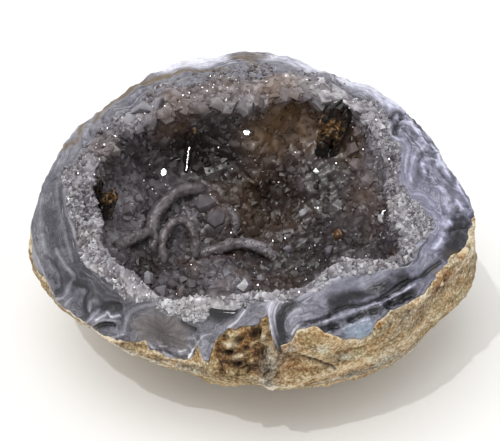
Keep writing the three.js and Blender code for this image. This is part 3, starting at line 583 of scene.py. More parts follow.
def buildMatrixRind(s):
    # up the outside, over the broken edge, across the face under the agate, down inside the wall
    azimuth, up, across, down = layRows(s)
    up = 1 - (1 - up) ** s["dense"]  # rows closer together near the broken edge
    reach = (np.maximum(ringTable(azimuth, skinEdge), 0) + s["lap"]) / rimWidth(azimuth)
    points = np.concatenate([wallPoint(azimuth, up, 0.0), wallPoint(azimuth, 1.0, across * reach),
                             wallPoint(azimuth, down, lerp(s["innerDepth"], reach, down**4))])
    points = softenCorner(points, len(up) - 1, s["soften"], s["softRows"])
    faceEnd = len(up) + len(across)
    normals = gridNormals(points, faceEnd - 1)
    fromEdge = np.concatenate([belowBreak(azimuth, up), across * reach * rimWidth(azimuth),
                               np.full((len(down), s["columns"]), s["innerEdge"])])
    around = azimuth + np.zeros((len(points), 1))
    cover = skinCover(around, fromEdge, points)
    porous = inNotch(around, fromEdge, points)

    ledge = noiseBy(points * np.array(s["ledgeShape"]), s["ledge"])
    nearest, second, number = crystalField(points + noiseBy(points, s["chipBend"])[..., None], s["chipSize"], 31)
    chips = (0.42 - nearest) + 0.5 * (number - 0.5) * smoothStep(second - nearest, 0, 0.15)
    pore = (1 - smoothStep(nearestDot(points + noiseBy(points, s["poreBend"])[..., None], notch["poreSize"], 12),
                           *s["poreEdge"])) * porous
    bentAz, bentUp = around + noiseBy(points, s["wobbleAcross"]), fromEdge + noiseBy(points, s["wobbleUp"])
    knobs = patchSum(bentAz, bentUp, rockKnobs, 2)
    hollows = patchSum(bentAz, bentUp, rockHollows)
    cracks, _ = drawnLines(around, fromEdge + noiseBy(points, s["crackBend"]), rockCracks)
    grain = patchSum(around, fromEdge, rockGrains)
    relief = (noiseBy(points, s["lumps"]) + s["chips"] * chips + s["ledges"] * ledge + noiseBy(points, s["grit"])
              + s["knobs"] * knobs - hollows - cracks + s["grains"] * grain
              - porous * (notch["sunk"] + notch["poreDepth"] * pore))
    row = np.arange(len(points))[:, None]
    offset = np.where(row >= faceEnd, 0, lerp(s["under"], s["proud"] + relief, smoothStep(cover, *s["overlaps"])))
    points = points + normals * (offset * smoothStep(row, *s["fadeRows"]))[..., None]
    points[..., 2] = np.maximum(points[..., 2], 0)

    rust = (patchSum(around, fromEdge, rustPlaces) + porous * blotches(points, s["rustOfNotch"])
            + blotches(points, s["rust"])) * (1 - np.clip(1.2 * knobs * porous + grain, 0, 0.9))
    grey = patchSum(around, fromEdge, greyPlaces) + blotches(points, s["grey"])
    # light: the rock's own paler places, plus painted light low down that stands in for the light thrown up from the
    # floor
    light = (patchSum(around, fromEdge, lightPlaces) + s["lightEdge"] * np.exp(-((cover - 0.1) / 0.3) ** 2)
             + s["lightLedge"] * ledge + s["lightChip"] * (number - 0.5)
             + s["paintedBounceLight"] * smoothStep(-fromEdge, 12, 26) - s["lightNotch"] * porous + s["lightAll"]
             + s["lightGrain"] * grain)
    # painted shade: darker in the hollows, pores, cracks and pits, where shade falls
    hole = 0.8 * hollows + 0.6 * pore + 1.2 * cracks + patchSum(around, fromEdge, rockPits) - 1.3 * grain
    piece = shellPiece("matrixRind", points, True, {
        "hole": np.clip(hole, 0, 0.85), "rust": np.clip(rust, 0, 0.9), "grey": np.clip(grey, 0, 0.9),
        "light": light}, makeMatrixRock())
    dress(piece, "matrix_rock", "matrix_rind")


buildMatrixRind(matrixRind)
print("rock skin built")

# How pale the broken agate is, 0 dark to 1 white: near its outer edge, and further in. The near-white stretches at the
# back, about 42 to 123, are painted highlight where the edge faces the light.
edgeToneAndHighlight = [
    (0, 0.53), (20, 0.6), (35, 0.6), (42, 0.85), (60, 0.9), (64, 0.5), (68, 0.85), (83, 0.85), (87, 0.45), (95, 0.4),
    (98, 0.9), (119, 0.95), (123, 0.5), (135, 0.45), (150, 0.55), (165, 0.5), (175, 0.32), (200, 0.3), (212, 0.24),
    (228, 0.3), (241, 0.32), (262, 0.38), (285, 0.38), (300, 0.42), (315, 0.36), (330, 0.4), (338, 0.24),
    (346, 0.24), (352, 0.4),
]
innerTone = [
    (0, 0.55), (20, 0.56), (45, 0.44), (90, 0.46), (135, 0.44), (165, 0.42), (180, 0.28), (200, 0.28), (212, 0.16),
    (228, 0.24), (241, 0.32), (262, 0.4), (285, 0.46), (300, 0.5), (315, 0.54), (330, 0.58), (345, 0.56),
]
# Where the agate turns to sugary quartz, mm from the broken edge
sugarStart = [
    (0, 10.8), (10, 8.2), (21, 7.2), (29, 6.2), (37, 3.2), (44, 2.5), (49, 3.4), (57, 1.9), (62, 3.5), (70, 1.9),
    (78, 3), (87, 3.2), (91, 3.8), (96, 5.2), (100, 4.2), (106, 3.8), (116, 4.6), (121, 3.4), (132, 3.2), (141, 3.6),
    (155, 4.7), (164, 3.8), (169, 2.8), (173, 1.8), (178, 3), (182, 5.2), (186, 6.6), (193, 8), (198, 8.6),
    (205, 9.8), (216, 9.7), (228, 9), (232, 8.4), (237, 9.4), (243, 9.2), (250, 8.3), (254, 9.2), (257, 11.8),
    (262, 12), (266, 10.2), (273, 9.4), (276, 8.8), (283, 9.8), (300, 12), (308, 12.2), (314, 9.6), (321, 8.1),
    (328, 6.3), (337, 6.8), (343, 6.9), (350, 9), (355, 11.8),
]
# How broken up the outer part of the face is
brokenUp = [
    (0, 0.4), (5, 0.5), (20, 0.55), (35, 0.6), (41, 0.5), (60, 0.3), (150, 0.25), (165, 0.1), (210, 0.15),
    (228, 0.25), (237, 0.3), (242, 0.8), (250, 0.8), (254, 0.4), (262, 0.3), (276, 0.1), (286, 0.3), (300, 0.4),
    (316, 0.4), (324, 0.2), (335, 0.4), (345, 0.7), (352, 0.6),
]
# How far the bands wander, mm
bandWander = [
    (0, 1.3), (30, 1.4), (60, 0.6), (120, 0.5), (180, 0.4), (200, 0.5), (212, 0.8), (228, 0.9), (236, 0.4),
    (258, 0.5), (262, 1), (280, 0.4), (300, 0.4), (330, 0.5), (350, 1.1),
]
# Single bands that stand out: strength (light over 0, dark under 0), half width in mm, and points of azimuth and mm
# from the broken edge. The dark ones that run along the grooves and pockets are painted shade.
ribbons = [
    # left: long quiet bands, then the folds
    (0.1, 0.4, [(181, 0.5), (191, 2.1), (197, 1.8), (203, 1.7)]),
    (0.16, 0.28, [(178, 2.6), (191, 6.2), (198.5, 6.2), (205.5, 6.4)]),
    (-0.12, 0.4, [(180, 4), (192, 6.9), (199, 7.1), (207, 7.6)]),
    (0.2, 0.28, [(179, 4.8), (194.5, 7.9), (200.5, 8.2), (208, 9.2)]),
    (-0.14, 0.9, [(184, 2.1), (192.5, 4.2), (197, 3.6)]),
    (-0.26, 0.4, [(198.5, 1.6), (204, 2.9), (208.5, 2.3), (208, 0.7)]),
    (0.3, 0.28, [(199, 3.8), (205, 4.3), (209.5, 5.5), (210, 3.7), (210.5, 1.4), (209, -0.2)]),
    (-0.36, 0.36, [(210.5, 4.8), (214, 6), (215.5, 5.9), (215.5, 4.1), (217.5, 2.2)]),
    (0.2, 0.4, [(212, 0.5), (212.5, 3.3), (213, 5.1), (214, 5.2), (215, 3.3)]),
    (0.28, 0.28, [(219, -0.2), (220.5, 2.4), (221, 4.5), (219, 5), (217.5, 4.2), (218.5, 2.7)]),
    (-0.2, 0.3, [(217.5, -0.3), (218.7, 2), (219.5, 3.4)]), (-0.42, 0.6, [(221.5, 4.4), (224, 5.9), (226.5, 7.2)]),
    (0.55, 0.28, [(221.5, 1.6), (223.5, 3.4), (224, 4.2), (225.5, 3.9), (227.5, 5.4)]),
    (0.25, 0.28, [(220.5, -0.2), (223, 2), (225.5, 3.1), (228, 4.2)]),
    (-0.5, 0.35, [(222, 0.4), (224.5, 1.8), (227, 2.6)]), (0.24, 0.28, [(226, -0.7), (228.5, 1.1), (230.5, 2.3)]),
    (-0.14, 0.28, [(227.5, -0.6), (229.7, 0.9), (232, 2.1)]),
    # front: outlines of the two fans
    (0.2, 0.3, [(230.6, 3), (230.5, 7.4), (237, 9.9), (243.5, 11.4), (249.5, 10.2)]),
    (-0.35, 0.5, [(247.5, 8.7), (251.5, 7.4)]), (-0.9, 0.95, [(256, 10.6), (259.5, 10.2), (263.4, 10.8)]),
    (0.5, 0.2, [(241.5, 1.9), (243.6, 2.3)]), (0.5, 0.22, [(247.3, 2.1), (249.2, 2.9)]),
    (0.4, 0.2, [(244.6, 3.2), (246.5, 3)]), (0.45, 0.2, [(250.4, 1.4), (251.6, 3.2)]),
    (-0.3, 0.4, [(243.5, 1.4), (247, 1.2)]), (0.3, 0.3, [(237.5, 2.2), (240, 1.2)]),
    (0.36, 0.3, [(262, 8), (265.2, 8.9), (268, 10)]), (0.25, 0.3, [(252, 3.2), (254, 5.6), (257, 6.4)]),
    # front right: the curl round the notch
    (0.3, 0.8, [(276.8, 1.2), (275.5, 4.2), (274.8, 6.8), (276.5, 9.4), (279.5, 10.1), (283, 9.8)]),
    (0.3, 0.2, [(278.2, 1.4), (276.9, 4.4), (276.6, 6.6), (278.2, 8.5), (281, 9.2), (284, 9)]),
    (-0.85, 0.95, [(277.9, 2.2), (278, 4.3), (278.8, 6.2), (280.5, 7.4), (283, 8)]),
    (0.26, 0.35, [(279.6, 3.7), (279.5, 5.1), (281.5, 6.3), (284.5, 6.8)]),
    (0.4, 0.25, [(281, 3.2), (283.5, 4), (286, 3.5)]),
    # right front: a smooth double band over a groove, broken ground below it; the wide dark band under the ridge and
    # the dark lines in the grooves are painted shade
    (0.3, 0.55, [(284, 8.9), (293.5, 9.6), (302.5, 11), (310, 10.9), (316, 9.4), (322, 7.4), (328, 6.9), (336, 7.8)]),
    (-0.58, 1.15, [(295.5, 6.3), (300.5, 6.7), (305.5, 6.9), (310, 6.2), (314.5, 5.2), (319, 4.3)]),
    (-0.4, 0.3, [(284, 3.8), (289.5, 3.6), (297, 5.3), (304.5, 4.9), (312.5, 4.2), (319.5, 3.6), (325.5, 3),
        (330, 1.9)]),
    (0.34, 0.25, [(290, 3), (297, 4.3), (304.5, 3.9), (312, 3.3), (318, 2.8)]),
    (-0.5, 0.6, [(287, 1.6), (291.5, 2.1), (294, 2.3)]), (-0.4, 0.5, [(298.5, 3.2), (303, 3.1), (305.5, 2.4)]),
    (-0.8, 0.8, [(309.5, 2.8), (313, 2.6), (317, 1.9)]), (-0.3, 0.8, [(296, 3.4), (301, 3.7), (306, 3.2)]),
    (0.3, 0.25, [(307.5, 3), (311, 3.4), (316, 3), (320, 2.4)]),
    (0.34, 0.25, [(295.2, 1.7), (299, 2.3), (303, 1.9)]),
    (-0.36, 0.22, [(316.5, 8.4), (320, 6.5), (324, 5.9), (327.5, 5.5), (330, 6.2), (338, 7.3)]),
    (-0.6, 1.3, [(334, 2.2), (340, 2.6), (347, 3.2)]), (0.5, 0.3, [(333.5, 4.6), (337, 4.8), (340, 5)]),
    (0.4, 0.2, [(344.5, 1.6), (343, 3.2), (344.5, 4.6)]),
    # right and back right: folded plates
    (-0.5, 0.5, [(35, 4.8), (38, 1.6), (35.5, 1.4), (31, 4.9), (28, 6.4)]),
    (0.4, 0.35, [(33.5, 5.8), (28.5, 7.3), (24.5, 6.6)]), (0.3, 0.9, [(34, 2.2), (29.5, 2.3), (25, 2.1)]),
    (0.32, 0.3, [(-1.5, 9.4), (6, 7.5), (13, 5.5), (19.5, 2.6), (19.5, 1), (15, -0.5)]),
    (-0.4, 0.45, [(-2.5, 9.2), (4, 6.3), (10, 5.1), (16.5, 2.9), (14.5, 1.4), (8.5, 2.8)]),
    (0.45, 0.3, [(6, 4.8), (10, 4.5), (11.5, 3.4), (12, 1.6), (8, 1.9)]),
    (-0.5, 0.22, [(35, -0.4), (30, 0.6), (24, 1.6), (19, 1.2), (14, 0.4)]),
    (0.5, 0.2, [(31, 1.4), (26, 2.6), (21, 1.9)]), (0.6, 0.4, [(15, 0.4), (11, 0.9), (7.5, 0.4)]),
    (-0.4, 0.25, [(13, 1.6), (8, 2), (3, 1.9), (-2, 1.8)]), (0.6, 0.35, [(1, 0.2), (-3, 0.9), (-6, 0.7)]),
    (-0.4, 0.2, [(27, 4.6), (21, 4.4), (15, 4), (11, 4)]),
    (-0.25, 0.18, [(26, 5.2), (20, 5.3), (14, 6.2), (8, 7.2), (2, 8.2)]),
    (0.25, 0.18, [(25, 5.9), (17, 6.4), (10, 7.6), (4, 8.9)]),
    (-0.35, 0.35, [(33, 0), (24, 0.9), (19, 0), (12, -0.6), (1.5, 0.4)]), (0.5, 0.3, [(8, 0.7), (3, 1)]),
    (0.4, 0.5, [(-1.5, 4.6), (-4, 4.2), (-7.5, 5.1)]), (-0.3, 0.4, [(-2, 3.4), (-7, 3.6), (-10, 4.4)]),
    (0.22, 0.3, [(-6, 11), (-5.5, 8.6), (-8, 7.6)]), (0.22, 0.3, [(-10, 9.8), (-11, 8), (-14, 7.2)]),
    (0.5, 0.28, [(-6.5, 3.1), (-9, 2.2)]), (0.4, 0.45, [(-17, 5), (-14.5, 3.8), (-13, 1.9)]),
    (-0.5, 0.4, [(-18, 4), (-15.5, 2.8), (-14, 1.2)]),
    # back: thin dark lines of painted shade under the plates, whose white is painted highlight
    (-0.3, 0.3, [(64, 0.4), (61.5, 2.6), (58, 4)]), (-0.22, 0.4, [(83, 1.8), (72, 2.2), (66, 2.2)]),
    (-0.2, 0.35, [(143, 1.8), (147, 2.5), (150, 3.6)]), (-0.2, 0.35, [(152, 2.2), (155, 3), (158, 4.2)]),
]
# Bands stained brown, given in the same way
stains = [
    (0.9, 0.45, [(120, 2.6), (114.5, 4.2), (105.5, 4.3), (99.5, 5.6)]),
    (0.9, 0.8, [(119, 2.4), (123, 1.4), (130, 0.5), (141, 0.2)]), (0.85, 0.6, [(142, 0.3), (146, 0.6), (149, 1.3)]),
    (0.85, 0.6, [(152, 0.4), (155, 0.7), (157, 1.6)]), (0.8, 0.6, [(165, 0.3), (161.5, 0.8), (159.5, 1.8)]),
    (0.7, 0.9, [(96, 2.4), (91.5, 4), (89, 5.6)]), (0.6, 1.2, [(87, 1.6), (93, 1.8)]),
]
# Where the agate is even, without fine bands: azimuth, mm from the broken edge, half width, half height, strength
calmPlaces = [
    (305, 8.4, 7, 1.9, 0.9), (292.5, 7, 3.6, 1.4, 0.7), (318.5, 6.6, 4, 1.5, 0.8), (190, 5, 9, 3.4, 0.6),
    (342, 3, 6, 2, 0.5),
]
# A groove under the smooth band, and pockets: depth in mm, half width, points; they are also painted darker, as painted
# shade
grooves = [
    (0.55, 0.4, [(283.5, 3.9), (289.5, 3.7), (297, 5.3), (304.5, 4.9), (312.5, 4.2), (319.5, 3.6), (325.5, 3),
        (330, 1.9)]),
    (0.5, 0.55, [(287, 1.6), (291.5, 2.1), (294, 2.3)]), (0.4, 0.5, [(298.5, 3.2), (303, 3.1), (305.5, 2.4)]),
    (0.6, 0.5, [(309.5, 2.7), (313, 2.4), (317, 1.7)]), (0.5, 0.4, [(222, 0.4), (224.5, 1.8), (227, 2.6)]),
    (0.5, 0.6, [(221.5, 4.4), (224, 5.9), (226.5, 7.2)]),
    (0.4, 0.5, [(35, 4.8), (38, 1.6), (35.5, 1.4), (31, 4.9), (28, 6.4)]),
    (0.3, 0.4, [(4, 6.3), (10, 5.1), (16.5, 2.9)]), (0.5, 0.4, [(-18, 4), (-15.5, 2.8), (-14, 1.2)]),
    (0.4, 0.35, [(247.5, 8.7), (251.5, 7.4)]), (0.3, 0.5, [(257, 9), (260, 8.8), (263, 9.4)]),
]

# How blue the broken agate is
lavenderTint = [(0, 0.85), (35, 0.7), (60, 0.4), (120, 0.3), (180, 0.15), (230, 0.2), (250, 0.1), (280, 0.3),
                (310, 0.6), (340, 0.85)]


# Chalcedony, broken: waxy and translucent, fine parallel bands of grey, blue-grey and white.
def makeBandedAgate():
    material, tree, look = startMaterial("chalcedony, banded, broken", "band", "calm", "tone", "lavender", "ray", "fan",
                                         "chip", "brown", "sugar")
    place = addNode(tree, "TexCoord", output="Object")
    broad = addNode(tree, "TexNoise", {"W": look["band"], "Scale": 0.8, "Detail": 1}, noise_dimensions="1D")  # 1.2 mm
    fine = addNode(tree, "TexNoise", {"W": look["band"], "Scale": 2.8, "Detail": 2, "Roughness": 0.6},
                   noise_dimensions="1D")  # 0.4 mm
    cloud = addNode(tree, "TexNoise", {"Vector": place, "Scale": 450, "Detail": 4, "Roughness": 0.6})  # 2 mm
    speck = addNode(tree, "TexNoise", {"Vector": place, "Scale": 1500, "Detail": 3, "Roughness": 0.65})  # 0.7 mm
    # tone: the agate's own paleness and bands, with painted highlight at the back edge and painted shade in the grooves
    banded, value = -0.86, look["tone"]
    for pattern, weight in ((fine, 0.6), (broad, 0.46)):
        banded = addNode(tree, "Math", {0: pattern, 1: weight, 2: banded}, operation="MULTIPLY_ADD")
    for pattern, weight in ((speck, 0.3), (cloud, 0.36)):
        value = addNode(tree, "Math", {0: pattern, 1: weight, 2: value}, operation="MULTIPLY_ADD")
    calmed = addNode(tree, "Mix", {0: look["calm"], 2: banded, 3: -0.33})
    level = addNode(tree, "Math", {0: value, 1: calmed}, operation="ADD")
    grey = addNode(tree, "ValToRGB", {"Fac": level}, stops=[
        (0.0, "#1f1d22"), (0.2, "#45434a"), (0.4, "#737178"), (0.6, "#9c9aa2"), (0.8, "#cbcad1"), (1.0, "#f6f5f8")])
    fan = addNode(tree, "ValToRGB", {"Fac": look["ray"]}, stops=[
        (0.0, "#433b3a"), (0.35, "#5c5453"), (0.65, "#787170"), (1.0, "#b4b0b2")])
    grains = addNode(tree, "ValToRGB", {"Fac": speck}, stops=[
        (0.3, "#565456"), (0.48, "#7a787a"), (0.62, "#9b999e"), (0.74, "#dddce2")])
    colour = addNode(tree, "Mix", {0: look["lavender"], 6: grey, 7: "#cfd2ea"}, 2, data_type="RGBA",
                     blend_type="MULTIPLY")
    for key, over in (("fan", fan), ("chip", "#8fa1b1"), ("brown", "#6d5c3c"), ("sugar", grains)):
        colour = addNode(tree, "Mix", {0: look[key], 6: colour, 7: over}, 2, data_type="RGBA")
    bump = addNode(tree, "Bump", {"Strength": 0.4, "Distance": 0.0003, "Height": speck})
    finishMaterial(tree, {"Base Color": colour, "Roughness": 0.34, "IOR": 1.54, "Subsurface Weight": 0.25,
                          "Subsurface Radius": (0.0012, 0.0012, 0.0014), "Subsurface Scale": 1.0, "Normal": bump})
    return material


# Overlap and deepest are shares of the face; the fan and the chip lie at an azimuth and mm from the broken edge. Four
# numbers are a noise, six are blotches.
bandedAgate = dict(
    columns=860, outsideRows=26, rimRows=62, insideRows=6, squeeze=0.4, dense=1.7, soften=0.7, softRows=2.5,
    fadeRows=(1, 6), overlap=0.1, deepest=0.97, nearColumns=34, backBegin=(20, 60), backEnd=(150, 200),
    underSkin=(1.3, 1.6), underNotch=2.6, underQuartz=0.5, behind=-0.5, inside=0.7,
    wander=(1, 3.4, 2, 77), wanderOutside=(1.3, 7.0, 2, 79), ribbonBend=(0.14, 0.8, 1, 61),
    ribbonFade=(0.3, 2.7, 1, 60), grooveBend=(0.2, 0.8, 1, 62), stainBend=(0.3, 1.2, 1, 63),
    fanMiddle=(241.5, 4.6), fanReach=(3.6, 6.4), fanBulge=4.6, fanEdge=(0.9, 2.5, 2, 29), fanFoot=(0.5, 1.2, 1, 30),
    fanHeight=0.35, fibres=(0.15, 0.6, 3, 83), sugarEdge=(0.8, 2.2, 2, 35), sugarOver=1.4, crystals=1.1,
    sugarTips=0.5, plateHeight=0.5, lineBands=3.7, lineFollow=0.85, lineReach=1.3,
    swells=(0.3, 7.0, 2, 41), lumps=(0.12, 2.2, 2, 43), fine=(0.05, 0.7, 1, 47), bandHeight=0.05, ribbonHeight=0.08,
    toneWobble=(3, 5.0, 2, 57), toneOutside=(0.16, 7.0, 2, 58), toneRagged=(0.1, 1.2, 1, 54),
    brown=(0.35, 2.4, 2, 53, 0.1, 0.8), chipMiddle=(299.3, 0.1), chipHalf=(4.2, 2.1),
)


def buildBandedAgate(s):
    # up inside the skin, over the broken edge, across the face, down behind the quartz
    azimuth, up, across, down = layRows(s)
    up = 1 - (1 - up) ** s["dense"]
    reach = np.minimum(alongTable(azimuth, agateEnd) + s["overlap"], s["deepest"])
    width = rimWidth(azimuth)
    points = np.concatenate([wallPoint(azimuth, up, 0.0), wallPoint(azimuth, 1.0, across * reach),
                             wallPoint(azimuth, down, lerp(agateDepth(azimuth, down), reach, down**6))])
    points = softenCorner(points, len(up) - 1, s["soften"], s["softRows"])
    faceEnd = len(up) + len(across)
    normals = gridNormals(points, faceEnd - 1)
    around = azimuth + np.zeros((len(points), 1))
    turned = np.mod(around, 360)
    fromEdge = np.concatenate([belowBreak(azimuth, up), across * reach * width,
                               np.zeros((len(down), 1)) + reach * width])
    cover = skinCover(around, fromEdge, points)

    # the bands follow the skin's edge: least distance to it in the unrolled face, over the columns near by
    edge = np.maximum(ringTable(azimuth, skinEdge), -1.0)
    band = np.full(points.shape[:2], 99.0)
    for k in range(-s["nearColumns"], s["nearColumns"] + 1):
        step = (np.mod(np.roll(azimuth, k, 1) - azimuth + 180, 360) - 180) * rimArc
        band = np.minimum(band, np.hypot(step, fromEdge - np.roll(edge, k, 1)))
    band = np.where(fromEdge > edge, band, -band) + ringTable(around, bandWander) * noiseBy(points, s["wander"])
    band = band + smoothStep(-fromEdge, 0, 3) * noiseBy(points, s["wanderOutside"])
    drawn, aside = drawnLines(around, fromEdge + noiseBy(points, s["ribbonBend"]), ribbons)
    drawn = drawn * (0.9 + noiseBy(points, s["ribbonFade"]))
    band = lerp(band, s["lineBands"] * aside, s["lineFollow"] * np.exp(-((aside / s["lineReach"]) ** 2)))
    calm = np.clip(patchSum(around, fromEdge, calmPlaces), 0, 0.9)
    sunk, _ = drawnLines(around, fromEdge + noiseBy(points, s["grooveBend"]), grooves)
    brown, _ = drawnLines(around, fromEdge + noiseBy(points, s["stainBend"]), stains)

    # the fan: fibres that run out from its middle
    fanX = (turned - s["fanMiddle"][0]) * rimArc
    fanY = fromEdge - s["fanMiddle"][1]
    fanFar = np.hypot(fanX, fanY)
    fan = (1 - smoothStep(fanFar + noiseBy(points, s["fanEdge"]), *s["fanReach"])) * smoothStep(
        fanY + noiseBy(points, s["fanFoot"]), -3.6, -1.2)
    fibre = np.stack([np.arctan2(fanY, fanX) * 5.5, fanFar * 0.3, np.zeros_like(fanX)], -1)
    ray = 0.4 + noiseBy(fibre, s["fibres"]) + 0.07 * (fanFar - 2.4) - 0.22 * np.exp(-((fanFar / 2.3) ** 2))

    coarse = smoothStep(turned, *s["backBegin"]) * (1 - smoothStep(turned, *s["backEnd"]))  # at the back
    begin = ringTable(around, sugarStart)
    sugar = smoothStep(fromEdge + noiseBy(points, s["sugarEdge"]), begin, begin + s["sugarOver"])
    nearest, second, number = crystalField(points, s["crystals"], 36)
    chaos = ringTable(around, brokenUp) * (1 - smoothStep(fromEdge, 5, 7)) * (1 - sugar)
    plates = (number - 0.5) * smoothStep(second - nearest, 0, 0.12)
    ragged = np.interp(turned, [284, 290, 316, 324], [0, 1, 1, 0]) * (1 - smoothStep(fromEdge, 3, 4.4))
    relief = (noiseBy(points, s["swells"]) + noiseBy(points, s["lumps"]) + noiseBy(points, s["fine"])
              + s["bandHeight"] * np.sin(band * 5.2) + s["ribbonHeight"] * drawn
              + 0.35 * coarse * ridgeNoise(points, 2.6, 2, 49)
              + s["sugarTips"] * sugar * (1 - 0.5 * coarse) * (0.4 - nearest) + s["plateHeight"] * chaos * plates
              + 0.7 * ragged * ridgeNoise(points, 1.7, 2, 52) - sunk
              + s["fanHeight"] * fan * np.clip(1 - (fanFar / s["fanBulge"]) ** 2, 0, 1))
    hidden = smoothStep(cover, 0.0, 0.9)
    underSkin = np.where(fromEdge > 0, *s["underSkin"]) + s["underNotch"] * inNotch(around, fromEdge, points)
    underQuartz = s["underQuartz"] * smoothStep(np.clip(fromEdge / width, 0, 1), reach - 0.06, reach)
    row = np.arange(len(points))[:, None]
    offset = np.where(row >= faceEnd, s["behind"], relief * (1 - hidden) - hidden * underSkin - underQuartz)
    fade = smoothStep(row, *s["fadeRows"])
    points = points + normals * (offset * fade - (1 - fade) * s["inside"])[..., None]

    wobbled = around + noiseBy(points, s["toneWobble"])
    # the near-white edge tone at the back is painted highlight
    tone = lerp(ringTable(wobbled, edgeToneAndHighlight), ringTable(around, innerTone), smoothStep(fromEdge, 2.2, 4.5))
    tone = lerp(tone, 0.5 + noiseBy(points, s["toneOutside"]), smoothStep(-fromEdge, 0.3, 3.0))
    # less 0.35 * sunk: painted shade in the grooves and pockets
    tone = (tone + drawn * np.interp(turned, [0, 40, 330, 350], [0.65, 1, 1, 0.65]) - 0.35 * sunk
            + ragged * noiseBy(points, s["toneRagged"]) + 0.8 * chaos * plates)
    brown = brown + blotches(points, s["brown"]) * np.exp(-(cover**2))
    chip = np.exp(-(((turned - s["chipMiddle"][0]) / s["chipHalf"][0]) ** 4)
                  - ((fromEdge - s["chipMiddle"][1]) / s["chipHalf"][1]) ** 4)
    piece = shellPiece("bandedAgate", points, True, {
        "band": band, "calm": np.clip(calm + coarse * sugar, 0, 0.9), "tone": tone,
        "lavender": ringTable(around, lavenderTint), "ray": np.clip(ray + 0.6 * drawn, 0, 1), "fan": fan * 0.9,
        "chip": 0.65 * chip, "brown": np.clip(brown, 0, 0.8), "sugar": sugar * (0.9 - 0.7 * coarse)}, makeBandedAgate())
    dress(piece, "banded_agate", "agate_wall")
    shown = slice(len(up) - 2, faceEnd)
    return points[shown], normals[shown], sugar[shown]


agateGrid, agateNormals, agateSugar = buildBandedAgate(bandedAgate)
print("agate wall built")

# Zones of the hollow, as bells of place, strength and spread in mm
brownZones = [
    ((8.1, 25, 28.5), 0.7, 4), ((5.3, 24.6, 32.5), 0.3, 3), ((15.5, 20.8, 29.3), 0.4, 3), ((0.4, 14, 15.8), 0.6, 5),
    ((18.9, 18.5, 26.2), 0.5, 2.2), ((1, 22, 27), 0.5, 3), ((-15.5, 20.5, 36.5), 0.25, 4.5),
    ((3, 27, 37), 0.22, 3.5), ((-27.5, 8.5, 32.5), 0.2, 3), ((-8, 28, 37), 0.15, 6), ((-14, 18.5, 31.5), 0.5, 2),
    ((21, 10, 22.5), 0.35, 3), ((-28, 2, 26), 0.3, 2.5),
]
# Painted shade: darker deep in the hollow and under the lip, where shade falls
paintedShadeZones = [
    ((1.5, 15.5, 16), 0.5, 4.2), ((-29, 2.5, 25.5), 0.35, 3.2), ((-12.5, 18, 23), 0.3, 5), ((-5, 20, 24), 0.3, 5),
    ((15.5, 20.8, 29.3), 0.3, 2.4), ((-21, -3.5, 16), 0.65, 3.5), ((-5, -31, 33.4), 0.8, 1.9),
    ((4, -2, 12.5), 0.3, 4), ((-10, -10, 13.5), 0.2, 5), ((21, 6, 23), 0.25, 5), ((9, 3, 13), 0.3, 5),
    ((16.5, 12, 21), 0.2, 3.5), ((-18.5, -5, 17.5), 0.22, 3), ((14.7, 15.8, 21.7), 0.2, 3),
    ((10.8, 6.5, 15.7), 0.25, 3), ((12.7, -3.3, 16.1), 0.45, 3.5), ((4.5, 15.2, 15.4), 0.5, 3),
    ((-19.5, -3.8, 17.6), 0.2, 2.5), ((-6.4, 18.7, 23.7), 0.7, 3.2), ((9.9, 12.7, 17.9), 0.35, 3),
    ((-3.9, 12.1, 18.9), 0.35, 2.4), ((1.4, 8.1, 14.4), 0.4, 3), ((15, 18.5, 23.6), 0.4, 2.5),
]
# How much paler the quartz is, darker below 0: partly its own milkiness, partly painted light that lifts places left in
# shade
paleAndPaintedLightZones = [
    ((-15.5, -7.9, 14.6), 0.1, 4), ((-23.8, 6.4, 22), 0.12, 2.2), ((-20.6, 19.4, 34.8), 0.15, 3),
    ((-12, 8, 17.5), 0.08, 4), ((21, 12, 28), 0.15, 4), ((-28.5, 12, 34.6), -0.12, 4), ((-12, -27, 29), 0.22, 4),
    ((-1, -24, 31), 0.08, 7), ((14, -20, 31), 0.04, 6), ((-27, 10, 33), -0.2, 4), ((-22.2, 17, 35), 0.12, 3),
    ((17, 24, 37), 0.1, 4), ((-19, 22, 36), -0.18, 5), ((-6, 28, 37), -0.14, 6), ((9, 27, 37), 0.1, 6),
    ((-26, 7, 25), 0.3, 6), ((22, 10, 26), 0.18, 4.5), ((-4, -8, 12.5), 0.14, 4), ((-28.5, 6, 31.5), 0.08, 3),
    ((17.8, 19.8, 34.9), 0.12, 2.5), ((-15.8, -6.2, 15.8), 0.14, 2), ((6.7, 24.1, 35.3), 0.08, 3),
    ((-24.8, -3, 21.2), 0.4, 3), ((-13.7, 13.9, 20.4), 0.22, 2.2), ((-28.4, -5, 31.4), -0.3, 3.2),
    ((-5.1, -5.8, 14.6), 0.12, 2.8), ((-15.2, 6.1, 16.8), 0.15, 3), ((21.9, 13.9, 29.9), 0.12, 3.5),
    ((-5.4, -3.4, 14.5), 0.08, 3),
]

# How pale and brown the quartz is outside the zones, and how much paler at the lip
zoneLook = dict(pale=0.1, lip=0.34, frontLip=0.14, brown=0.05, paleNoise=(0.08, 4.0, 2, 101),
                brownBlotches=(0.14, 6.0, 2, 103, 0.1, 0.9))


def quartzLook(points, share):
    # how pale, brown and dark the quartz is at a place: paler towards the lip, plus the zones and a rough noise; the
    # dark is painted shade
    s = zoneLook
    lip = smoothStep(share, 0.8, 0.99)
    front = smoothStep(-points[..., 1], -4, 10)
    pale = s["pale"] + lip * (s["lip"] + s["frontLip"] * front) + bellSum(points, paleAndPaintedLightZones) + noiseBy(
        points, s["paleNoise"])
    brown = s["brown"] + bellSum(points, brownZones) + blotches(points, s["brownBlotches"])
    dark = bellSum(points, paintedShadeZones)
    return np.clip(pale, 0, 1), np.clip(brown, 0, 1), np.clip(dark, 0, 1)
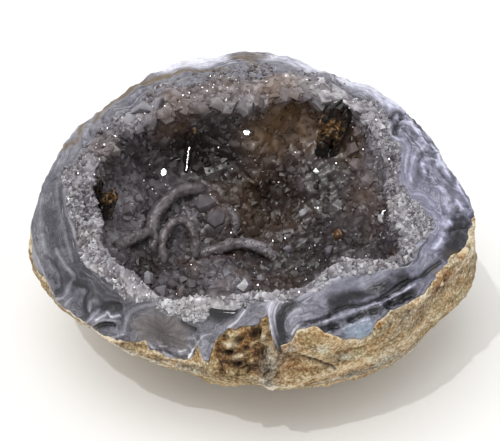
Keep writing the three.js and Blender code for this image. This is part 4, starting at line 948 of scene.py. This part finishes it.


# Quartz, grown: clear to milky glassy crystals over a grey ground; white where frosted, brown where stained, near black
# where shade is painted.
def makeQuartz(name, transmission, roughness, subsurface, frosting):
    material, tree, look = startMaterial(name, "pale", "brown", "dark")
    place = addNode(tree, "TexCoord", output="Object")
    cloud = addNode(tree, "TexNoise", {"Vector": place, "Scale": 500, "Detail": 4, "Roughness": 0.6})  # 2 mm
    frost = addNode(tree, "TexNoise", {"Vector": place, "Scale": 2600, "Detail": 2})  # 0.4 mm
    level = addNode(tree, "Math", {0: cloud, 1: 0.4, 2: look["pale"]}, operation="MULTIPLY_ADD")
    even = addNode(tree, "Math", {0: level, 1: 0.2}, operation="SUBTRACT")
    colour = addNode(tree, "ValToRGB", {"Fac": even}, stops=[
        (0.0, "#29252a"), (0.25, "#524d54"), (0.5, "#86828a"), (0.75, "#b8b6bc"), (1.0, "#f2f1f4")])
    # dark: painted shade, mixed towards near black
    for key, over in (("brown", "#886a4a"), ("dark", "#241b19")):
        colour = addNode(tree, "Mix", {0: look[key], 6: colour, 7: over}, 2, data_type="RGBA")
    bump = addNode(tree, "Bump", {"Strength": frosting, "Distance": 0.0001, "Height": frost})
    finishMaterial(tree, {"Base Color": colour, "Roughness": roughness, "IOR": 1.544,
                          "Transmission Weight": transmission, "Subsurface Weight": subsurface,
                          "Subsurface Radius": (0.0012, 0.0012, 0.0012), "Subsurface Scale": 1.0, "Normal": bump})
    return material


quartzBase = makeQuartz("quartz, massive, under the druse", 0.0, 0.3, 0.35, 0.25)
quartzPoints = makeQuartz("quartz, grown points", 0.2, 0.12, 0.4, 0.1)
quartzFaces = makeQuartz("quartz, clean crystal faces", 0.1, 0.14, 0.3, 0.0)

# Tips in mm; lip is where the quartz starts on the broken face, lower round the pocket at the front
quartzCrust = dict(columns=560, outsideRows=6, rimRows=34, insideRows=128, squeeze=0.15, soften=0.6, softRows=4.0,
                   lip=0.05, pocket=(259, 9, 0.1), coarseSize=2.5, coarseTips=1.1, fineSize=1.1, fineTips=0.45,
                   uneven=(0.35, 5.0, 2, 113), haze=(0.06, 2.4, 2, 119), behind=-0.2, sunk=-0.7, fadeRows=(9, 8),
                   crestReach=3, crestHeight=0.2)


def buildQuartzCrust(s):
    # up behind the agate, across the inner part of the broken face, down the hollow to its floor
    azimuth, up, across, down = layRows(s)
    pocketAt, pocketHalf, pocketDeep = s["pocket"]
    start = alongTable(azimuth, agateEnd) - s["lip"] - pocketDeep * np.exp(-(((azimuth - pocketAt) / pocketHalf) ** 2))
    points = np.concatenate([wallPoint(azimuth, up, lerp(agateDepth(azimuth, up) + 0.03, start, up**6)),
                             wallPoint(azimuth, 1.0, lerp(start, 1.0, across)), crustPoint(azimuth, down)])
    points = softenCorner(points, len(up) + len(across) - 1, s["soften"], s["softRows"])
    normals = gridNormals(points, len(up) - 1)
    share = np.concatenate([up, np.ones_like(across), down]) + np.zeros_like(azimuth)
    sugary = smoothStep(share, 0.8, 0.95)
    backward = smoothStep(points[..., 1], 8, 20)
    finer = 0.5 * sugary * (1 - backward)
    nearest, _, number = crystalField(points, s["coarseSize"], 111)
    fine, _, fineNumber = crystalField(points, s["fineSize"], 117)
    bumps = (s["coarseTips"] * (0.4 - nearest) * (1 - finer) + s["fineTips"] * (0.4 - fine) * (0.5 + finer)
             + noiseBy(points, s["uneven"]) + 0.3 * (number - 0.5))
    row = np.arange(len(points))[:, None]
    riseRows, floorRows = s["fadeRows"]
    rise = smoothStep(row, len(up), len(up) + riseRows)
    offset = np.where(row < len(up), s["behind"], lerp(s["sunk"], bumps, rise)) * smoothStep(
        len(points) - row, 0, floorRows)
    # painted light: the crests of the crystals paler, as if they caught the light, and the pits between them darker,
    # painted shade
    crest = np.clip((offset - localMean(offset, s["crestReach"])) / s["crestHeight"], -1, 1)
    points = points + normals * offset[..., None]
    pale, brown, dark = quartzLook(points, share)
    pale = (pale + sugary * backward * noiseBy(points, s["haze"]) + 0.08 * (number - 0.5)
            + 0.08 * (fineNumber - 0.5) * (0.5 + sugary) + (0.09 + 0.1 * sugary) * crest)
    piece = shellPiece("quartzCrust", points, True, {"pale": pale, "brown": brown, "dark": dark}, quartzBase)
    dress(piece, "druzy_quartz", "quartz_crust")
    shown = slice(len(up) + 6, None)
    return points[shown], normals[shown], share[shown]


crustGrid, crustNormals, crustShare = buildQuartzCrust(quartzCrust)
print("quartz crust built")


# Chalcedony tubes on the floor: radius, how pale, and points along the middle
tubes = [
    (1.15, 0.3, [(-18.6, 0.9, 15.2), (-19.4, 4, 17.8), (-18.7, 7.2, 19.4), (-16.8, 10, 20.6), (-13.8, 12.4, 21),
                 (-10.6, 14, 20.2), (-8, 14.8, 18)]),
    (0.95, 0.32, [(-16.9, -1.4, 14.4), (-17.2, 2.4, 17.4), (-15.6, 5.4, 18.6), (-13, 6.2, 18.6), (-11.2, 3.6, 17.2),
                  (-11, 0.4, 14.4)]),
    (1.05, 0.42, [(-11.2, 1.8, 13.2), (-7.9, 2.8, 14), (-3.9, 4.2, 14.5), (-0.4, 4.2, 14.6), (2.2, 3.2, 14.2),
                  (4.4, 1.6, 12.6)]),
    (0.75, 0.3, [(-7.6, 12.9, 17.2), (-5.2, 11, 17.8), (-3.4, 8.6, 16.6), (-3.6, 6.6, 14)]),
    (1.05, 0.3, [(-26, -3, 20), (-22.6, 0.6, 19.4), (-19.2, 3.6, 18.2)]),
]

# Dark blades of another mineral: node, then foot, tip, width, thickness and the way the width runs
bladeGroups = {
    "dark_crystals_right": [((14.0, 21, 23.2), (17.6, 20.4, 38.4), 6.4, 2.0, (1, 0.3, 0)),
                            ((15.6, 20.0, 23), (18.2, 19.6, 36.4), 1.9, 2.2, (1, 0.6, 0)),
                            ((13.4, 20.4, 22.4), (13.8, 20, 28.0), 2.4, 2.0, (1, 0, 0)),
                            ((15.6, 22.2, 26), (16.0, 18.4, 20.8), 2, 1.4, (1, 0, 0))],
    "dark_crystals_back": [((-13.1, 17.2, 20.4), (-12.2, 18, 29.6), 1.6, 1.1, (1, 0.5, 0)),
                           ((-12.6, 18.8, 25.4), (-10.6, 18.2, 32.4), 2.4, 1.6, (1, 0, 0.3))],
    "dark_crystals_left": [((-29.8, 2.9, 27.0), (-29.0, 3.2, 33.2), 3.2, 2.0, (1, 0.5, 0)),
                           ((-27.6, 0.2, 24.6), (-25.2, 1.6, 32.0), 2.4, 1.8, (0.9, 0.6, 0)),
                           ((-30.2, 3.8, 27), (-26.2, 1.4, 28), 2.4, 1.8, (0.3, 1, 0.2)),
                           ((-30, 4, 26.4), (-25.8, 1.6, 23), 2.2, 1.7, (0.2, 1, 0.3))],
}


def clearOfOthers(places):
    # true where a crystal's foot is away from every tube and blade
    lines = [(radius + 0.25, smoothPath(through, 40)) for radius, _, through in tubes]
    for blades in bladeGroups.values():
        lines += [(width / 2 + 0.7, np.linspace(foot, tip, 40)) for foot, tip, width, *_ in blades]
    clear = np.ones(len(places), bool)
    for gap, path in lines:
        clear &= np.linalg.norm(places[:, None] - path[None], axis=-1).min(1) > gap
    return clear


def evenPairs(count, start):
    # pairs from 0 to 1 that fill the square evenly: multiples of two fixed fractions
    k = np.arange(count) + start
    return np.mod(0.5 + k * 0.7548776662, 1), np.mod(0.5 + k * 0.5698402910, 1)


def scatterOver(surface, azimuths, heights, weight, count, start):
    # places spread over a surface of azimuth and height in proportion to its area times a weight
    grid = surface(azimuths[None, :], heights[:, None])
    area = np.linalg.norm(np.cross(np.diff(grid, axis=1)[:-1], np.diff(grid, axis=0)[:, :-1]), axis=-1)
    middleAz = (azimuths[:-1] + azimuths[1:]) / 2
    middleHigh = (heights[:-1] + heights[1:]) / 2
    area = area * weight(middleAz[None, :], middleHigh[:, None])
    first, second = evenPairs(count, start)
    ends = np.concatenate([[0], np.cumsum(area.sum(0))])
    spot = first * ends[-1]
    column = np.clip(np.searchsorted(ends, spot, side="right") - 1, 0, area.shape[1] - 1)
    partAcross = (spot - ends[column]) / np.maximum(ends[column + 1] - ends[column], 1e-9)
    stack = np.concatenate([np.zeros((1, area.shape[1])), np.cumsum(area, axis=0)])[:, column]
    target = second * stack[-1]
    row = np.clip((stack <= target).sum(0) - 1, 0, area.shape[0] - 1)
    pick = np.arange(count)
    partUp = (target - stack[row, pick]) / np.maximum(stack[row + 1, pick] - stack[row, pick], 1e-9)
    return lerp(azimuths[column], azimuths[column + 1], partAcross), lerp(heights[row], heights[row + 1], partUp)


def sprinkle(grid, normals, weight, count, seed):
    # points of a finished grid, picked in proportion to the area round them times a weight, moved a little aside
    area = np.linalg.norm(np.cross(np.roll(grid, -1, 1) - grid, np.gradient(grid, axis=0)), axis=-1) * weight
    ends = np.cumsum(area)
    index = np.searchsorted(ends, (np.arange(count) + 0.5) / count * ends[-1])
    row, column = np.divmod(np.minimum(index, area.size - 1), grid.shape[1])
    chance = np.random.default_rng(seed)
    aside = chance.uniform(0, 1, (count, 1)) * (grid[row, (column + 1) % grid.shape[1]] - grid[row, column])
    return grid[row, column] + aside, normals[row, column], row, column


def surfaceNormal(surface, azimuth, height):
    # cross product of a small step up and a small step round: into the hollow, or up from the broken face
    up = surface(azimuth, height + 0.004) - surface(azimuth, height - 0.004)
    return unit(np.cross(up, surface(azimuth + 0.4, height) - surface(azimuth - 0.4, height)))


def growCrystals(name, places, axes, radii, lengths, seed, looks, pointed=False, tipHeight=1.1, uneven=1.0,
                 tipLightFootShade=0.12, material=quartzPoints):
    # six-sided prisms on their axes, closed by six slanted faces that meet a little off the axis;
    # pointed ones have no prism, only the slanted faces on a six-cornered foot
    n = len(places)
    chance = np.random.default_rng(seed)
    side = unit(np.cross(axes, chance.normal(size=(n, 3))))
    other = np.cross(axes, side)
    turn = np.arange(6) * np.pi / 3
    ring = side[:, None] * np.cos(turn)[None, :, None] + other[:, None] * np.sin(turn)[None, :, None] * (
        chance.uniform(0.7, 1.1, (n, 1, 1)))
    ring = ring * (radii[:, None] * chance.uniform(0.85, 1.15, (n, 6)))[..., None]
    lean = (side * chance.normal(0, 0.25, (n, 1)) + other * chance.normal(0, 0.25, (n, 1))) * radii[:, None]
    foot = (places - axes * (0.35 * radii)[:, None])[:, None] + ring
    tip = (places + axes * (lengths + tipHeight * radii)[:, None] + lean)[:, None]
    if pointed:
        vertices = np.concatenate([foot, tip], 1)
        faces = [(i, (i + 1) % 6, 6) for i in range(6)] + [(5, 4, 3, 2, 1, 0)]
        rise = [0] * 6 + [1]
    else:
        step = np.tile([0.12, -0.12], 3)[None, :] + chance.uniform(-0.15, 0.15, (n, 6))
        high = lengths[:, None] + uneven * step * radii[:, None]
        top = places[:, None] + axes[:, None] * high[..., None] + ring * 0.94
        vertices = np.concatenate([foot, top, tip], 1)
        faces = [(i, (i + 1) % 6, 6 + (i + 1) % 6, 6 + i) for i in range(6)]
        faces += [(6 + i, 6 + (i + 1) % 6, 12) for i in range(6)] + [(5, 4, 3, 2, 1, 0)]
        rise = [0] * 6 + [0.7] * 6 + [1]
    count = vertices.shape[1]
    corners = (np.concatenate([np.array(f) for f in faces])[None, :] + np.arange(n)[:, None] * count).ravel()
    sizes = np.tile([len(f) for f in faces], n)
    spread = {key: np.repeat(values, count) for key, values in looks.items()}
    # each crystal painted paler towards its tip and darker at its foot: painted highlight and painted shade
    spread["pale"] = spread["pale"] + tipLightFootShade * (np.tile(rise, n) - 0.5)
    piece = meshPiece(name, vertices.reshape(-1, 3), corners, sizes, False, spread, material)
    dress(piece, "druzy_quartz", "quartz_crust")


def plainLook(pale, brown):
    # a look without dark places
    return {"pale": pale, "brown": brown + 0 * pale, "dark": 0 * pale}


def looksOf(places, share, seed, wild, paler):
    # zone looks, each crystal a little paler or darker than its neighbours, and all of them paler by the same
    pale, brown, dark = quartzLook(places, share)
    pale = pale + np.random.default_rng(seed).normal(0, wild, len(places)) + paler
    return {"pale": pale, "brown": brown, "dark": dark}


def growDruse(s, name, seed, surface, facing, weight):
    # larger crystals over a surface of the wall, sunk in it by a part of their radius, smaller near the lip
    chance = np.random.default_rng(seed)
    azimuth, height = scatterOver(surface, np.linspace(0, 360, 361), np.linspace(s["begin"], 1, 120), weight,
                                  s["count"], seed)
    keep = clearOfOthers(surface(azimuth, height))
    azimuth, height = azimuth[keep], height[keep]
    places = surface(azimuth, height)
    normals = facing * surfaceNormal(surface, azimuth, np.minimum(height, 0.99))
    axes = unit(normals + s["tilt"] * chance.normal(size=places.shape))
    radii = chance.uniform(*s["radius"], len(places)) * (1 - s["smaller"] * smoothStep(height, 0.86, 0.98))
    lengths = radii * chance.uniform(*s["length"], len(places))
    looks = looksOf(places, np.maximum(height, s["leastShare"]), seed + 2, s["wild"], s["pale"])
    places = places - normals * (s["sunk"] * radii + s["deeper"])[:, None]
    growCrystals(name, places, axes, radii, lengths, seed + 1, looks, tipHeight=s["tip"], tipLightFootShade=s["tipLightFootShade"])


def growSugar(s, name, seed, grid, outward, weight, share):
    # small points sprinkled over a finished surface
    places, out, row, column = sprinkle(grid, outward, weight, s["count"], seed)
    chance = np.random.default_rng(seed + 5)
    axes = unit(out + s["tilt"] * chance.normal(size=places.shape))
    keep = clearOfOthers(places)
    looks = looksOf(places, share[row, column], seed + 2, 0.2, s["pale"])
    radii = lerp(*s["radius"], chance.uniform(0, 1, len(places)) ** 2.5)
    growCrystals(name, places[keep], axes[keep], radii[keep], np.zeros(keep.sum()), seed + 1,
                 {key: values[keep] for key, values in looks.items()}, pointed=True)


hollowDruse = dict(count=2300, begin=0.01, radius=(0.5, 1.3), smaller=0.35, length=(0.0, 0.35), tilt=0.4, sunk=0.42,
                   deeper=0.0, leastShare=0.0, wild=0.05, pale=0.06, tip=0.75, tipLightFootShade=0.12)
# The glitter is painted paler than the quartz round it: painted highlight for its sparkle
hollowGlitter = dict(count=2400, radius=(0.12, 0.32), tilt=0.7, pale=0.18, below=0.9)

growDruse(hollowDruse, "hollowDruse", 200, crustPoint, 1, lambda azimuth, share: 1.0)
growSugar(hollowGlitter, "hollowGlitter", 300, crustGrid, crustNormals, crustShare < hollowGlitter["below"], crustShare)
print("druse of the hollow grown")

rimSugar = dict(count=6000, radius=(0.14, 0.75), tilt=0.5, pale=0.1, patches=(1, 3.0, 2, 402, -0.7, 0.3))
faceSugar = dict(count=3600, radius=(0.12, 0.6), tilt=0.5, pale=0.1, patches=(1, 3.0, 2, 452, -0.5, 0.4))
rimBlocks = dict(count=170, begin=0.78, radius=(0.8, 2.3), smaller=0.0, length=(0.0, 0.2), tilt=0.6, sunk=0.45,
                 deeper=0.1, leastShare=1.0, wild=0.08, pale=0.02, tip=0.7, tipLightFootShade=0.28)


def rimPoint(azimuth, share):
    return wallPoint(azimuth, 1.0, share)


def overBackLip(azimuth, depth):
    # the edge of the wide quartz lip at the back
    return smoothStep(depth, 0.8, 0.9) * smoothStep(azimuth, 30, 60) * (1 - smoothStep(azimuth, 150, 185))


def overFront(points):
    # 1 at the front and sides, less at the back, where the quartz is hazy and smooth
    return 1 - 0.85 * smoothStep(points[..., 1], 6, 20)


rimWeight = smoothStep(crustShare, 0.84, 0.97) * overFront(crustGrid) * blotches(crustGrid, rimSugar["patches"])
faceWeight = agateSugar**2 * overFront(agateGrid) * blotches(agateGrid, faceSugar["patches"])
growSugar(rimSugar, "rimSugar", 400, crustGrid, crustNormals, rimWeight, crustShare)
growSugar(faceSugar, "faceSugar", 450, agateGrid, agateNormals, faceWeight, np.ones_like(agateSugar))
growDruse(rimBlocks, "rimBlocks", 500, rimPoint, -1, overBackLip)
print("druse of the rim grown")

tubeLook = dict(rings=80, sides=26, lumps=(0.24, 1.5, 2), fineLumps=(0.14, 0.5, 1, 140), frost=150,
                frostRadius=(0.1, 0.26), frostTilt=0.4, frostPale=(0.36, 0.14), frostBrown=0.1,
                paleNoise=(0.12, 3.0, 2, 145), brown=0.12)


def fullTurn(sides):
    # angles of a profile's corners
    return np.arange(sides) * 2 * np.pi / sides


def buildTubes(s):
    # a round profile carried along a curve, its radius varied by noise and drawn to nothing at both ends
    frostPlaces, frostAxes = [], []
    for number, (radius, paleness, through) in enumerate(tubes):
        path = smoothPath(through, s["rings"])
        tangent = unit(np.gradient(path, axis=0))
        reference = np.linalg.svd(path - path.mean(0))[2][2]
        side = unit(np.cross(tangent, reference))
        other = np.cross(tangent, side)
        turn = fullTurn(s["sides"])
        out = side[:, None] * np.cos(turn)[None, :, None] + other[:, None] * np.sin(turn)[None, :, None]
        ends = np.sqrt(np.clip(1 - np.abs(np.linspace(-1, 1, s["rings"])) ** 12, 0.02, 1))
        surface = path[:, None] + out * (radius * ends)[:, None, None]
        swell = noiseBy(surface, (*s["lumps"], 131 + number)) + noiseBy(surface, s["fineLumps"])
        surface = surface + out * (swell * radius * ends[:, None])[..., None]
        pale = paleness + noiseBy(surface, s["paleNoise"])
        piece = shellPiece(f"tube{number}", surface, True, plainLook(pale, s["brown"]), quartzBase)
        dress(piece, "druzy_quartz", "quartz_crust")
        chance = np.random.default_rng(600 + number)
        ring = chance.integers(2, s["rings"] - 2, s["frost"])
        spoke = chance.integers(0, s["sides"], s["frost"])
        frostPlaces.append(surface[ring, spoke])
        frostAxes.append(out[ring, spoke])
    places = np.concatenate(frostPlaces)
    chance = np.random.default_rng(650)
    axes = unit(np.concatenate(frostAxes) + s["frostTilt"] * chance.normal(size=places.shape))
    radii = chance.uniform(*s["frostRadius"], len(places))
    pale = chance.normal(*s["frostPale"], len(places))
    growCrystals("tubeFrost", places, axes, radii, 0 * radii, 660, plainLook(pale, s["frostBrown"]), pointed=True)


buildTubes(tubeLook)
print("tubes built")

# Single crystals that stand out: place, radius, length, pale, brown
standouts = [
    ((-15.5, -7.9, 14.6), 1.1, 1.3, 0.34, 0.15), ((-17.2, -10.3, 15.6), 1.6, 0.8, 0.4, 0.05),
    ((-13.6, -9.6, 14.2), 0.9, 1.2, 0.45, 0.3), ((-19.4, -8.4, 16.6), 1, 1.4, 0.55, 0),
    ((-11.5, -6, 13.2), 1.3, 0.8, 0.36, 0.1), ((-5.1, -2.9, 13.4), 1.3, 0.6, 0.6, 0),
    ((-1.5, -7.3, 14.2), 1.5, 0.6, 0.55, 0.05), ((1.4, -4.6, 13.2), 1, 0.6, 0.5, 0.1),
    ((-23.8, 6.4, 21.4), 1.5, 0.5, 0.4, 0.15), ((-22.6, 8.4, 21.4), 1.2, 0.5, 0.35, 0.15),
    ((19.2, 18.5, 26.4), 2, 0.7, 0.5, 0.45), ((20.2, 16, 24.6), 1.6, 0.7, 0.5, 0.4),
    ((18.6, 18.8, 29.4), 1.4, 0.7, 0.45, 0.5), ((-9.6, 11.2, 18.6), 2.2, 0.5, 0.34, 0.1),
    ((-7, 8.4, 17.2), 1.9, 0.5, 0.36, 0.1), ((6.5, 24.4, 27.5), 1.5, 0.6, 0.4, 0.6),
    ((21.4, 10.5, 25.1), 1.2, 1, 0.55, 0.3), ((22.1, 0, 26.2), 1.2, 0.9, 0.7, 0),
    ((-20.6, 19.4, 34.6), 2.6, 0.3, 0.62, 0), ((-18.4, 20.8, 35), 2, 0.3, 0.6, 0),
    ((-22.8, 17.4, 34.6), 1.7, 0.3, 0.6, 0.05), ((-19.6, 17.6, 33.6), 1.5, 0.4, 0.5, 0.05),
    ((9.8, 11.5, 15.8), 0.9, 0.6, 0.7, 0), ((12.8, 22.8, 33.6), 2.2, 0.9, 0.7, 0.1),
    ((9.8, 23.6, 34.2), 2, 0.9, 0.5, 0.2), ((6.6, 24, 34.6), 1.9, 0.8, 0.42, 0.3), ((7.1, 4, 12.9), 1, 0.5, 0.45, 0),
    ((14.6, -0.5, 17), 1, 0.6, 0.45, 0),
]
# Faces that throw the light straight at the front: place, radius, brown
glints = [
    ((-17.3, 15.9, 22.8), 0.75, 0.3), ((-1, 21.1, 28.8), 0.7, 0), ((9.8, 11.9, 16.2), 0.6, 0),
    ((22.1, 0.4, 26.7), 0.7, 0), ((-24.5, 13, 29), 0.6, 0), ((13.5, 22.5, 33), 0.5, 0),
]
# The way to the hard light, and the viewer's place in mm; the first spread is for the placed ones and the line.
glintLook = dict(light=(-0.3, -0.3, 1.0), front=(-0.4, -225.7, 225.1), count=1500, radius=(0.07, 0.17),
                 spread=(0.012, 0.035), line=((-12.9, 16.0, 23.2), (-12.3, 16.6, 28.2)), lineCount=20, lineRadius=0.14,
                 pale=0.5, high=0.2, raised=0.3)


def nearestOnCrust(places):
    # the crust's grid point nearest to each place, and the way out of the crust there
    flat, out = crustGrid.reshape(-1, 3), crustNormals.reshape(-1, 3)
    index = np.array([np.argmin(((flat - np.array(p)) ** 2).sum(-1)) for p in places])
    return flat[index], out[index]


def buildStandouts(rows):
    chance = np.random.default_rng(700)
    places, out = nearestOnCrust([r[0] for r in rows])
    radius, length, pale, brown = np.array([r[1:] for r in rows]).T
    axes = unit(out + 0.6 * chance.normal(size=places.shape))
    growCrystals("standoutCrystals", places, axes, radius, length, 710, plainLook(pale, brown), tipHeight=0.8,
                 tipLightFootShade=0.3)


buildStandouts(standouts)


def buildGlints(rows, s):
    # thin plates that lie square to the line half way between the hard light and the front: a few placed ones, a line
    # of them along a crystal's edge, and small ones sprinkled over the crust
    chance = np.random.default_rng(720)
    places, _ = nearestOnCrust([r[0] for r in rows])
    line = np.linspace(*s["line"], s["lineCount"]) + chance.normal(0, 0.04, (s["lineCount"], 3))
    more, _, _, _ = sprinkle(crustGrid, crustNormals, 0.35 + smoothStep(crustShare, 0.8, 0.95), s["count"], 721)
    radii = np.concatenate([[r[1] for r in rows], np.full(len(line), s["lineRadius"]),
                            chance.uniform(*s["radius"], len(more))])
    brown = np.concatenate([[r[2] for r in rows], np.zeros(len(line) + len(more))])
    places = np.concatenate([places, line, more])
    towards = unit(unit(np.array(s["front"]) - places) + unit(np.array(s["light"])))
    spread = np.where(np.arange(len(radii)) < len(rows) + len(line), *s["spread"])
    axes = unit(towards + spread[:, None] * chance.normal(size=places.shape))
    growCrystals("glints", places + s["raised"] * radii[:, None] * towards, axes, radii, s["high"] * radii, 730,
                 plainLook(s["pale"] + 0 * radii, brown), tipHeight=0.0, uneven=0.0, material=quartzFaces)


buildGlints(glints, glintLook)
print("single crystals grown")

bladeLook = dict(rows=34, sides=36, ridges=(0.16, 0.9, 2, 151), lumps=(0.22, 1.1, 1, 153), chisel=0.25,
                 ochre=(1, 0.8, 3, 155, -0.55, 0.15), ochreEverywhere=0.03, ochreMost=0.85)
# Where the blades have weathered to ochre: place, strength, spread in mm
ochrePlaces = [((14.4, 19.0, 30.6), 1.7, 1.6), ((-11.3, 17.6, 31.4), 0.25, 1.0), ((-25.6, 1.4, 29.0), 0.8, 1.6)]


# Dark iron mineral, grown: near black, submetallic gloss, ochre where it has weathered.
def makeDarkMineral():
    material, tree, look = startMaterial("goethite, grown blades", "ochre")
    place = addNode(tree, "TexCoord", output="Object")
    streak = addNode(tree, "TexNoise", {"Vector": place, "Scale": 1300, "Detail": 4})  # 0.8 mm
    base = addNode(tree, "ValToRGB", {"Fac": streak}, stops=[(0.3, "#080708"), (0.58, "#131012"), (0.75, "#2c2420")])
    rust = addNode(tree, "ValToRGB", {"Fac": streak}, stops=[
        (0.36, "#3a2414"), (0.47, "#7a5028"), (0.56, "#b58c50"), (0.66, "#e6cfa0")])
    colour = addNode(tree, "Mix", {0: look["ochre"], 6: base, 7: rust}, 2, data_type="RGBA")
    bump = addNode(tree, "Bump", {"Strength": 0.4, "Distance": 0.0002, "Height": streak})
    finishMaterial(tree, {"Base Color": colour, "Roughness": 0.12, "IOR": 2.0, "Normal": bump})
    return material


def buildBlades(s):
    # a flat six-sided profile carried from foot to tip, drawn in to a slanted chisel edge at the end
    material = makeDarkMineral()
    turn = fullTurn(s["sides"])
    hexagon = 1 / np.maximum.reduce([np.abs(np.cos(turn - k * np.pi / 3)) for k in range(3)])
    v = np.linspace(0, 1, s["rows"])
    narrow = np.sqrt(np.clip(1 - ((v - 0.15) / 0.85).clip(0) ** 4, 0.004, 1)) * (0.6 + 0.4 * smoothStep(v, 0, 0.6))
    for node, blades in bladeGroups.items():
        for number, (foot, tip, width, thickness, across) in enumerate(blades):
            foot, tip = np.array(foot, float), np.array(tip, float)
            axis = unit(tip - foot)
            side = unit(np.array(across, float) - axis * np.dot(across, axis))
            other = np.cross(axis, side)
            x = np.cos(turn) * hexagon * width / 2
            y = np.sin(turn) * hexagon * thickness / 2
            slant = 0.1 * x / width
            length = np.linalg.norm(tip - foot)
            along = v[:, None] * length * (1 - s["chisel"] * smoothStep(v, 0.5, 1)[:, None] * (0.5 + slant * 4))
            surface = foot + axis * along[..., None] + side * (narrow[:, None] * x)[..., None] + other * (
                narrow[:, None] * y)[..., None]
            ridge = np.stack([turn * 4, 0 * turn, 0 * turn + number * 7.3], -1)[None] + np.stack(
                [0 * v, v * 0.8, 0 * v], -1)[:, None]
            out = unit(side * np.cos(turn)[:, None] + other * np.sin(turn)[:, None])
            lift = noiseBy(ridge, s["ridges"]) * narrow[:, None] + noiseBy(surface, s["lumps"])
            surface = surface + out[None] * lift[..., None]
            ochre = blotches(surface, s["ochre"]) * np.clip(
                s["ochreEverywhere"] + bellSum(surface, ochrePlaces), 0, s["ochreMost"])
            piece = shellPiece(f"{node.split('_')[-1]}Blade{number}", surface, False, {"ochre": ochre}, material)
            dress(piece, "dark_mineral", node)


buildBlades(bladeLook)
print("dark blades built")


# Iron-stained grain, loose: orange-brown, resinous.
def makeRustGrain():
    material, tree, _ = startMaterial("limonite grain, weathered")
    place = addNode(tree, "TexCoord", output="Object")
    noise = addNode(tree, "TexNoise", {"Vector": place, "Scale": 1600, "Detail": 3})  # 0.6 mm
    colour = addNode(tree, "ValToRGB", {"Fac": noise}, stops=[(0.35, "#24150a"), (0.5, "#5e3a12"), (0.68, "#a8702a")])
    finishMaterial(tree, {"Base Color": colour, "Roughness": 0.4, "IOR": 1.9})
    return material


rustGrain = dict(middle=(16.3, 2.9, 17.9), radius=0.95, stretch=(0.95, 1.3, 1.5), rows=20, sides=28,
                 lumps=(0.18, 1.2, 2, 161))


def buildGrain(s):
    # a ball drawn out by the stretch, its radius varied by noise
    v = np.linspace(0, np.pi, s["rows"] + 2)[1:-1, None]
    turn = fullTurn(s["sides"])[None, :]
    out = np.stack([-np.cos(v) + 0 * turn, np.sin(v) * np.cos(turn + np.pi), np.sin(v) * np.sin(turn)], -1)
    out[..., 1] *= -1
    lumpy = 1 + noiseBy(out * 2.0, s["lumps"])
    surface = np.array(s["middle"]) + out * lumpy[..., None] * s["radius"] * np.array(s["stretch"])
    piece = shellPiece("rustGrain", surface, True, {}, makeRustGrain())
    dress(piece, "rust_mineral", "rust_brown_grain")


buildGrain(rustGrain)
print("grain built")

# Distances in metres, angles in degrees; a sun is its strength, its size and the way to it.
stage = dict(floorHalf=2.5, floorColour="#f4f4f3", elevation=42.0, distance=0.3, lens=115.8, sensor=36, farEnd=20,
             target=(-0.00036, -0.0028, 0.0244), worldStrength=0.75, softSun=(1.0, 50, (-0.2, -0.1, 1.0)),
             hardSun=(0.6, 1.0, (-0.3, -0.3, 1.0)))


# Painted board, matt: the floor under the stone.
def buildStage(s):
    material, tree, _ = startMaterial("painted board, matt")
    finishMaterial(tree, {"Base Color": s["floorColour"], "Roughness": 0.9})
    mesh = bpy.data.meshes.new("floor")
    h = s["floorHalf"]
    mesh.from_pydata([(-h, -h, 0), (h, -h, 0), (h, h, 0), (-h, h, 0)], [], [(0, 1, 2, 3)])
    mesh.materials.append(material)
    floor = bpy.data.objects.new("floor", mesh)
    bpy.context.scene.collection.objects.link(floor)

    world = bpy.data.worlds.new("studio")
    bpy.context.scene.world = world
    world.use_nodes = True
    background = world.node_tree.nodes["Background"]
    background.inputs["Color"].default_value = (1, 1, 1, 1)
    background.inputs["Strength"].default_value = s["worldStrength"]
    for name in ("softSun", "hardSun"):
        strength, size, towards = s[name]
        light = bpy.data.lights.new(name, "SUN")
        light.energy = strength
        light.angle = np.radians(size)
        sun = bpy.data.objects.new(name, light)
        bpy.context.scene.collection.objects.link(sun)
        x, y, z = towards
        sun.rotation_euler = (np.arctan2(np.hypot(x, y), z), 0, np.arctan2(x, -y))

    rise = np.radians(s["elevation"])
    camera = bpy.data.objects.new("camera", bpy.data.cameras.new("camera"))
    camera.data.lens = s["lens"]
    camera.data.sensor_width = s["sensor"]
    camera.location = np.array(s["target"]) + s["distance"] * np.array([0, -np.cos(rise), np.sin(rise)])
    camera.rotation_euler = (np.pi / 2 - rise, 0, 0)
    camera.data.clip_end = s["farEnd"]
    bpy.context.scene.collection.objects.link(camera)
    bpy.context.scene.camera = camera
    bpy.context.scene.view_settings.view_transform = "Standard"


buildStage(stage)
print("stage set")
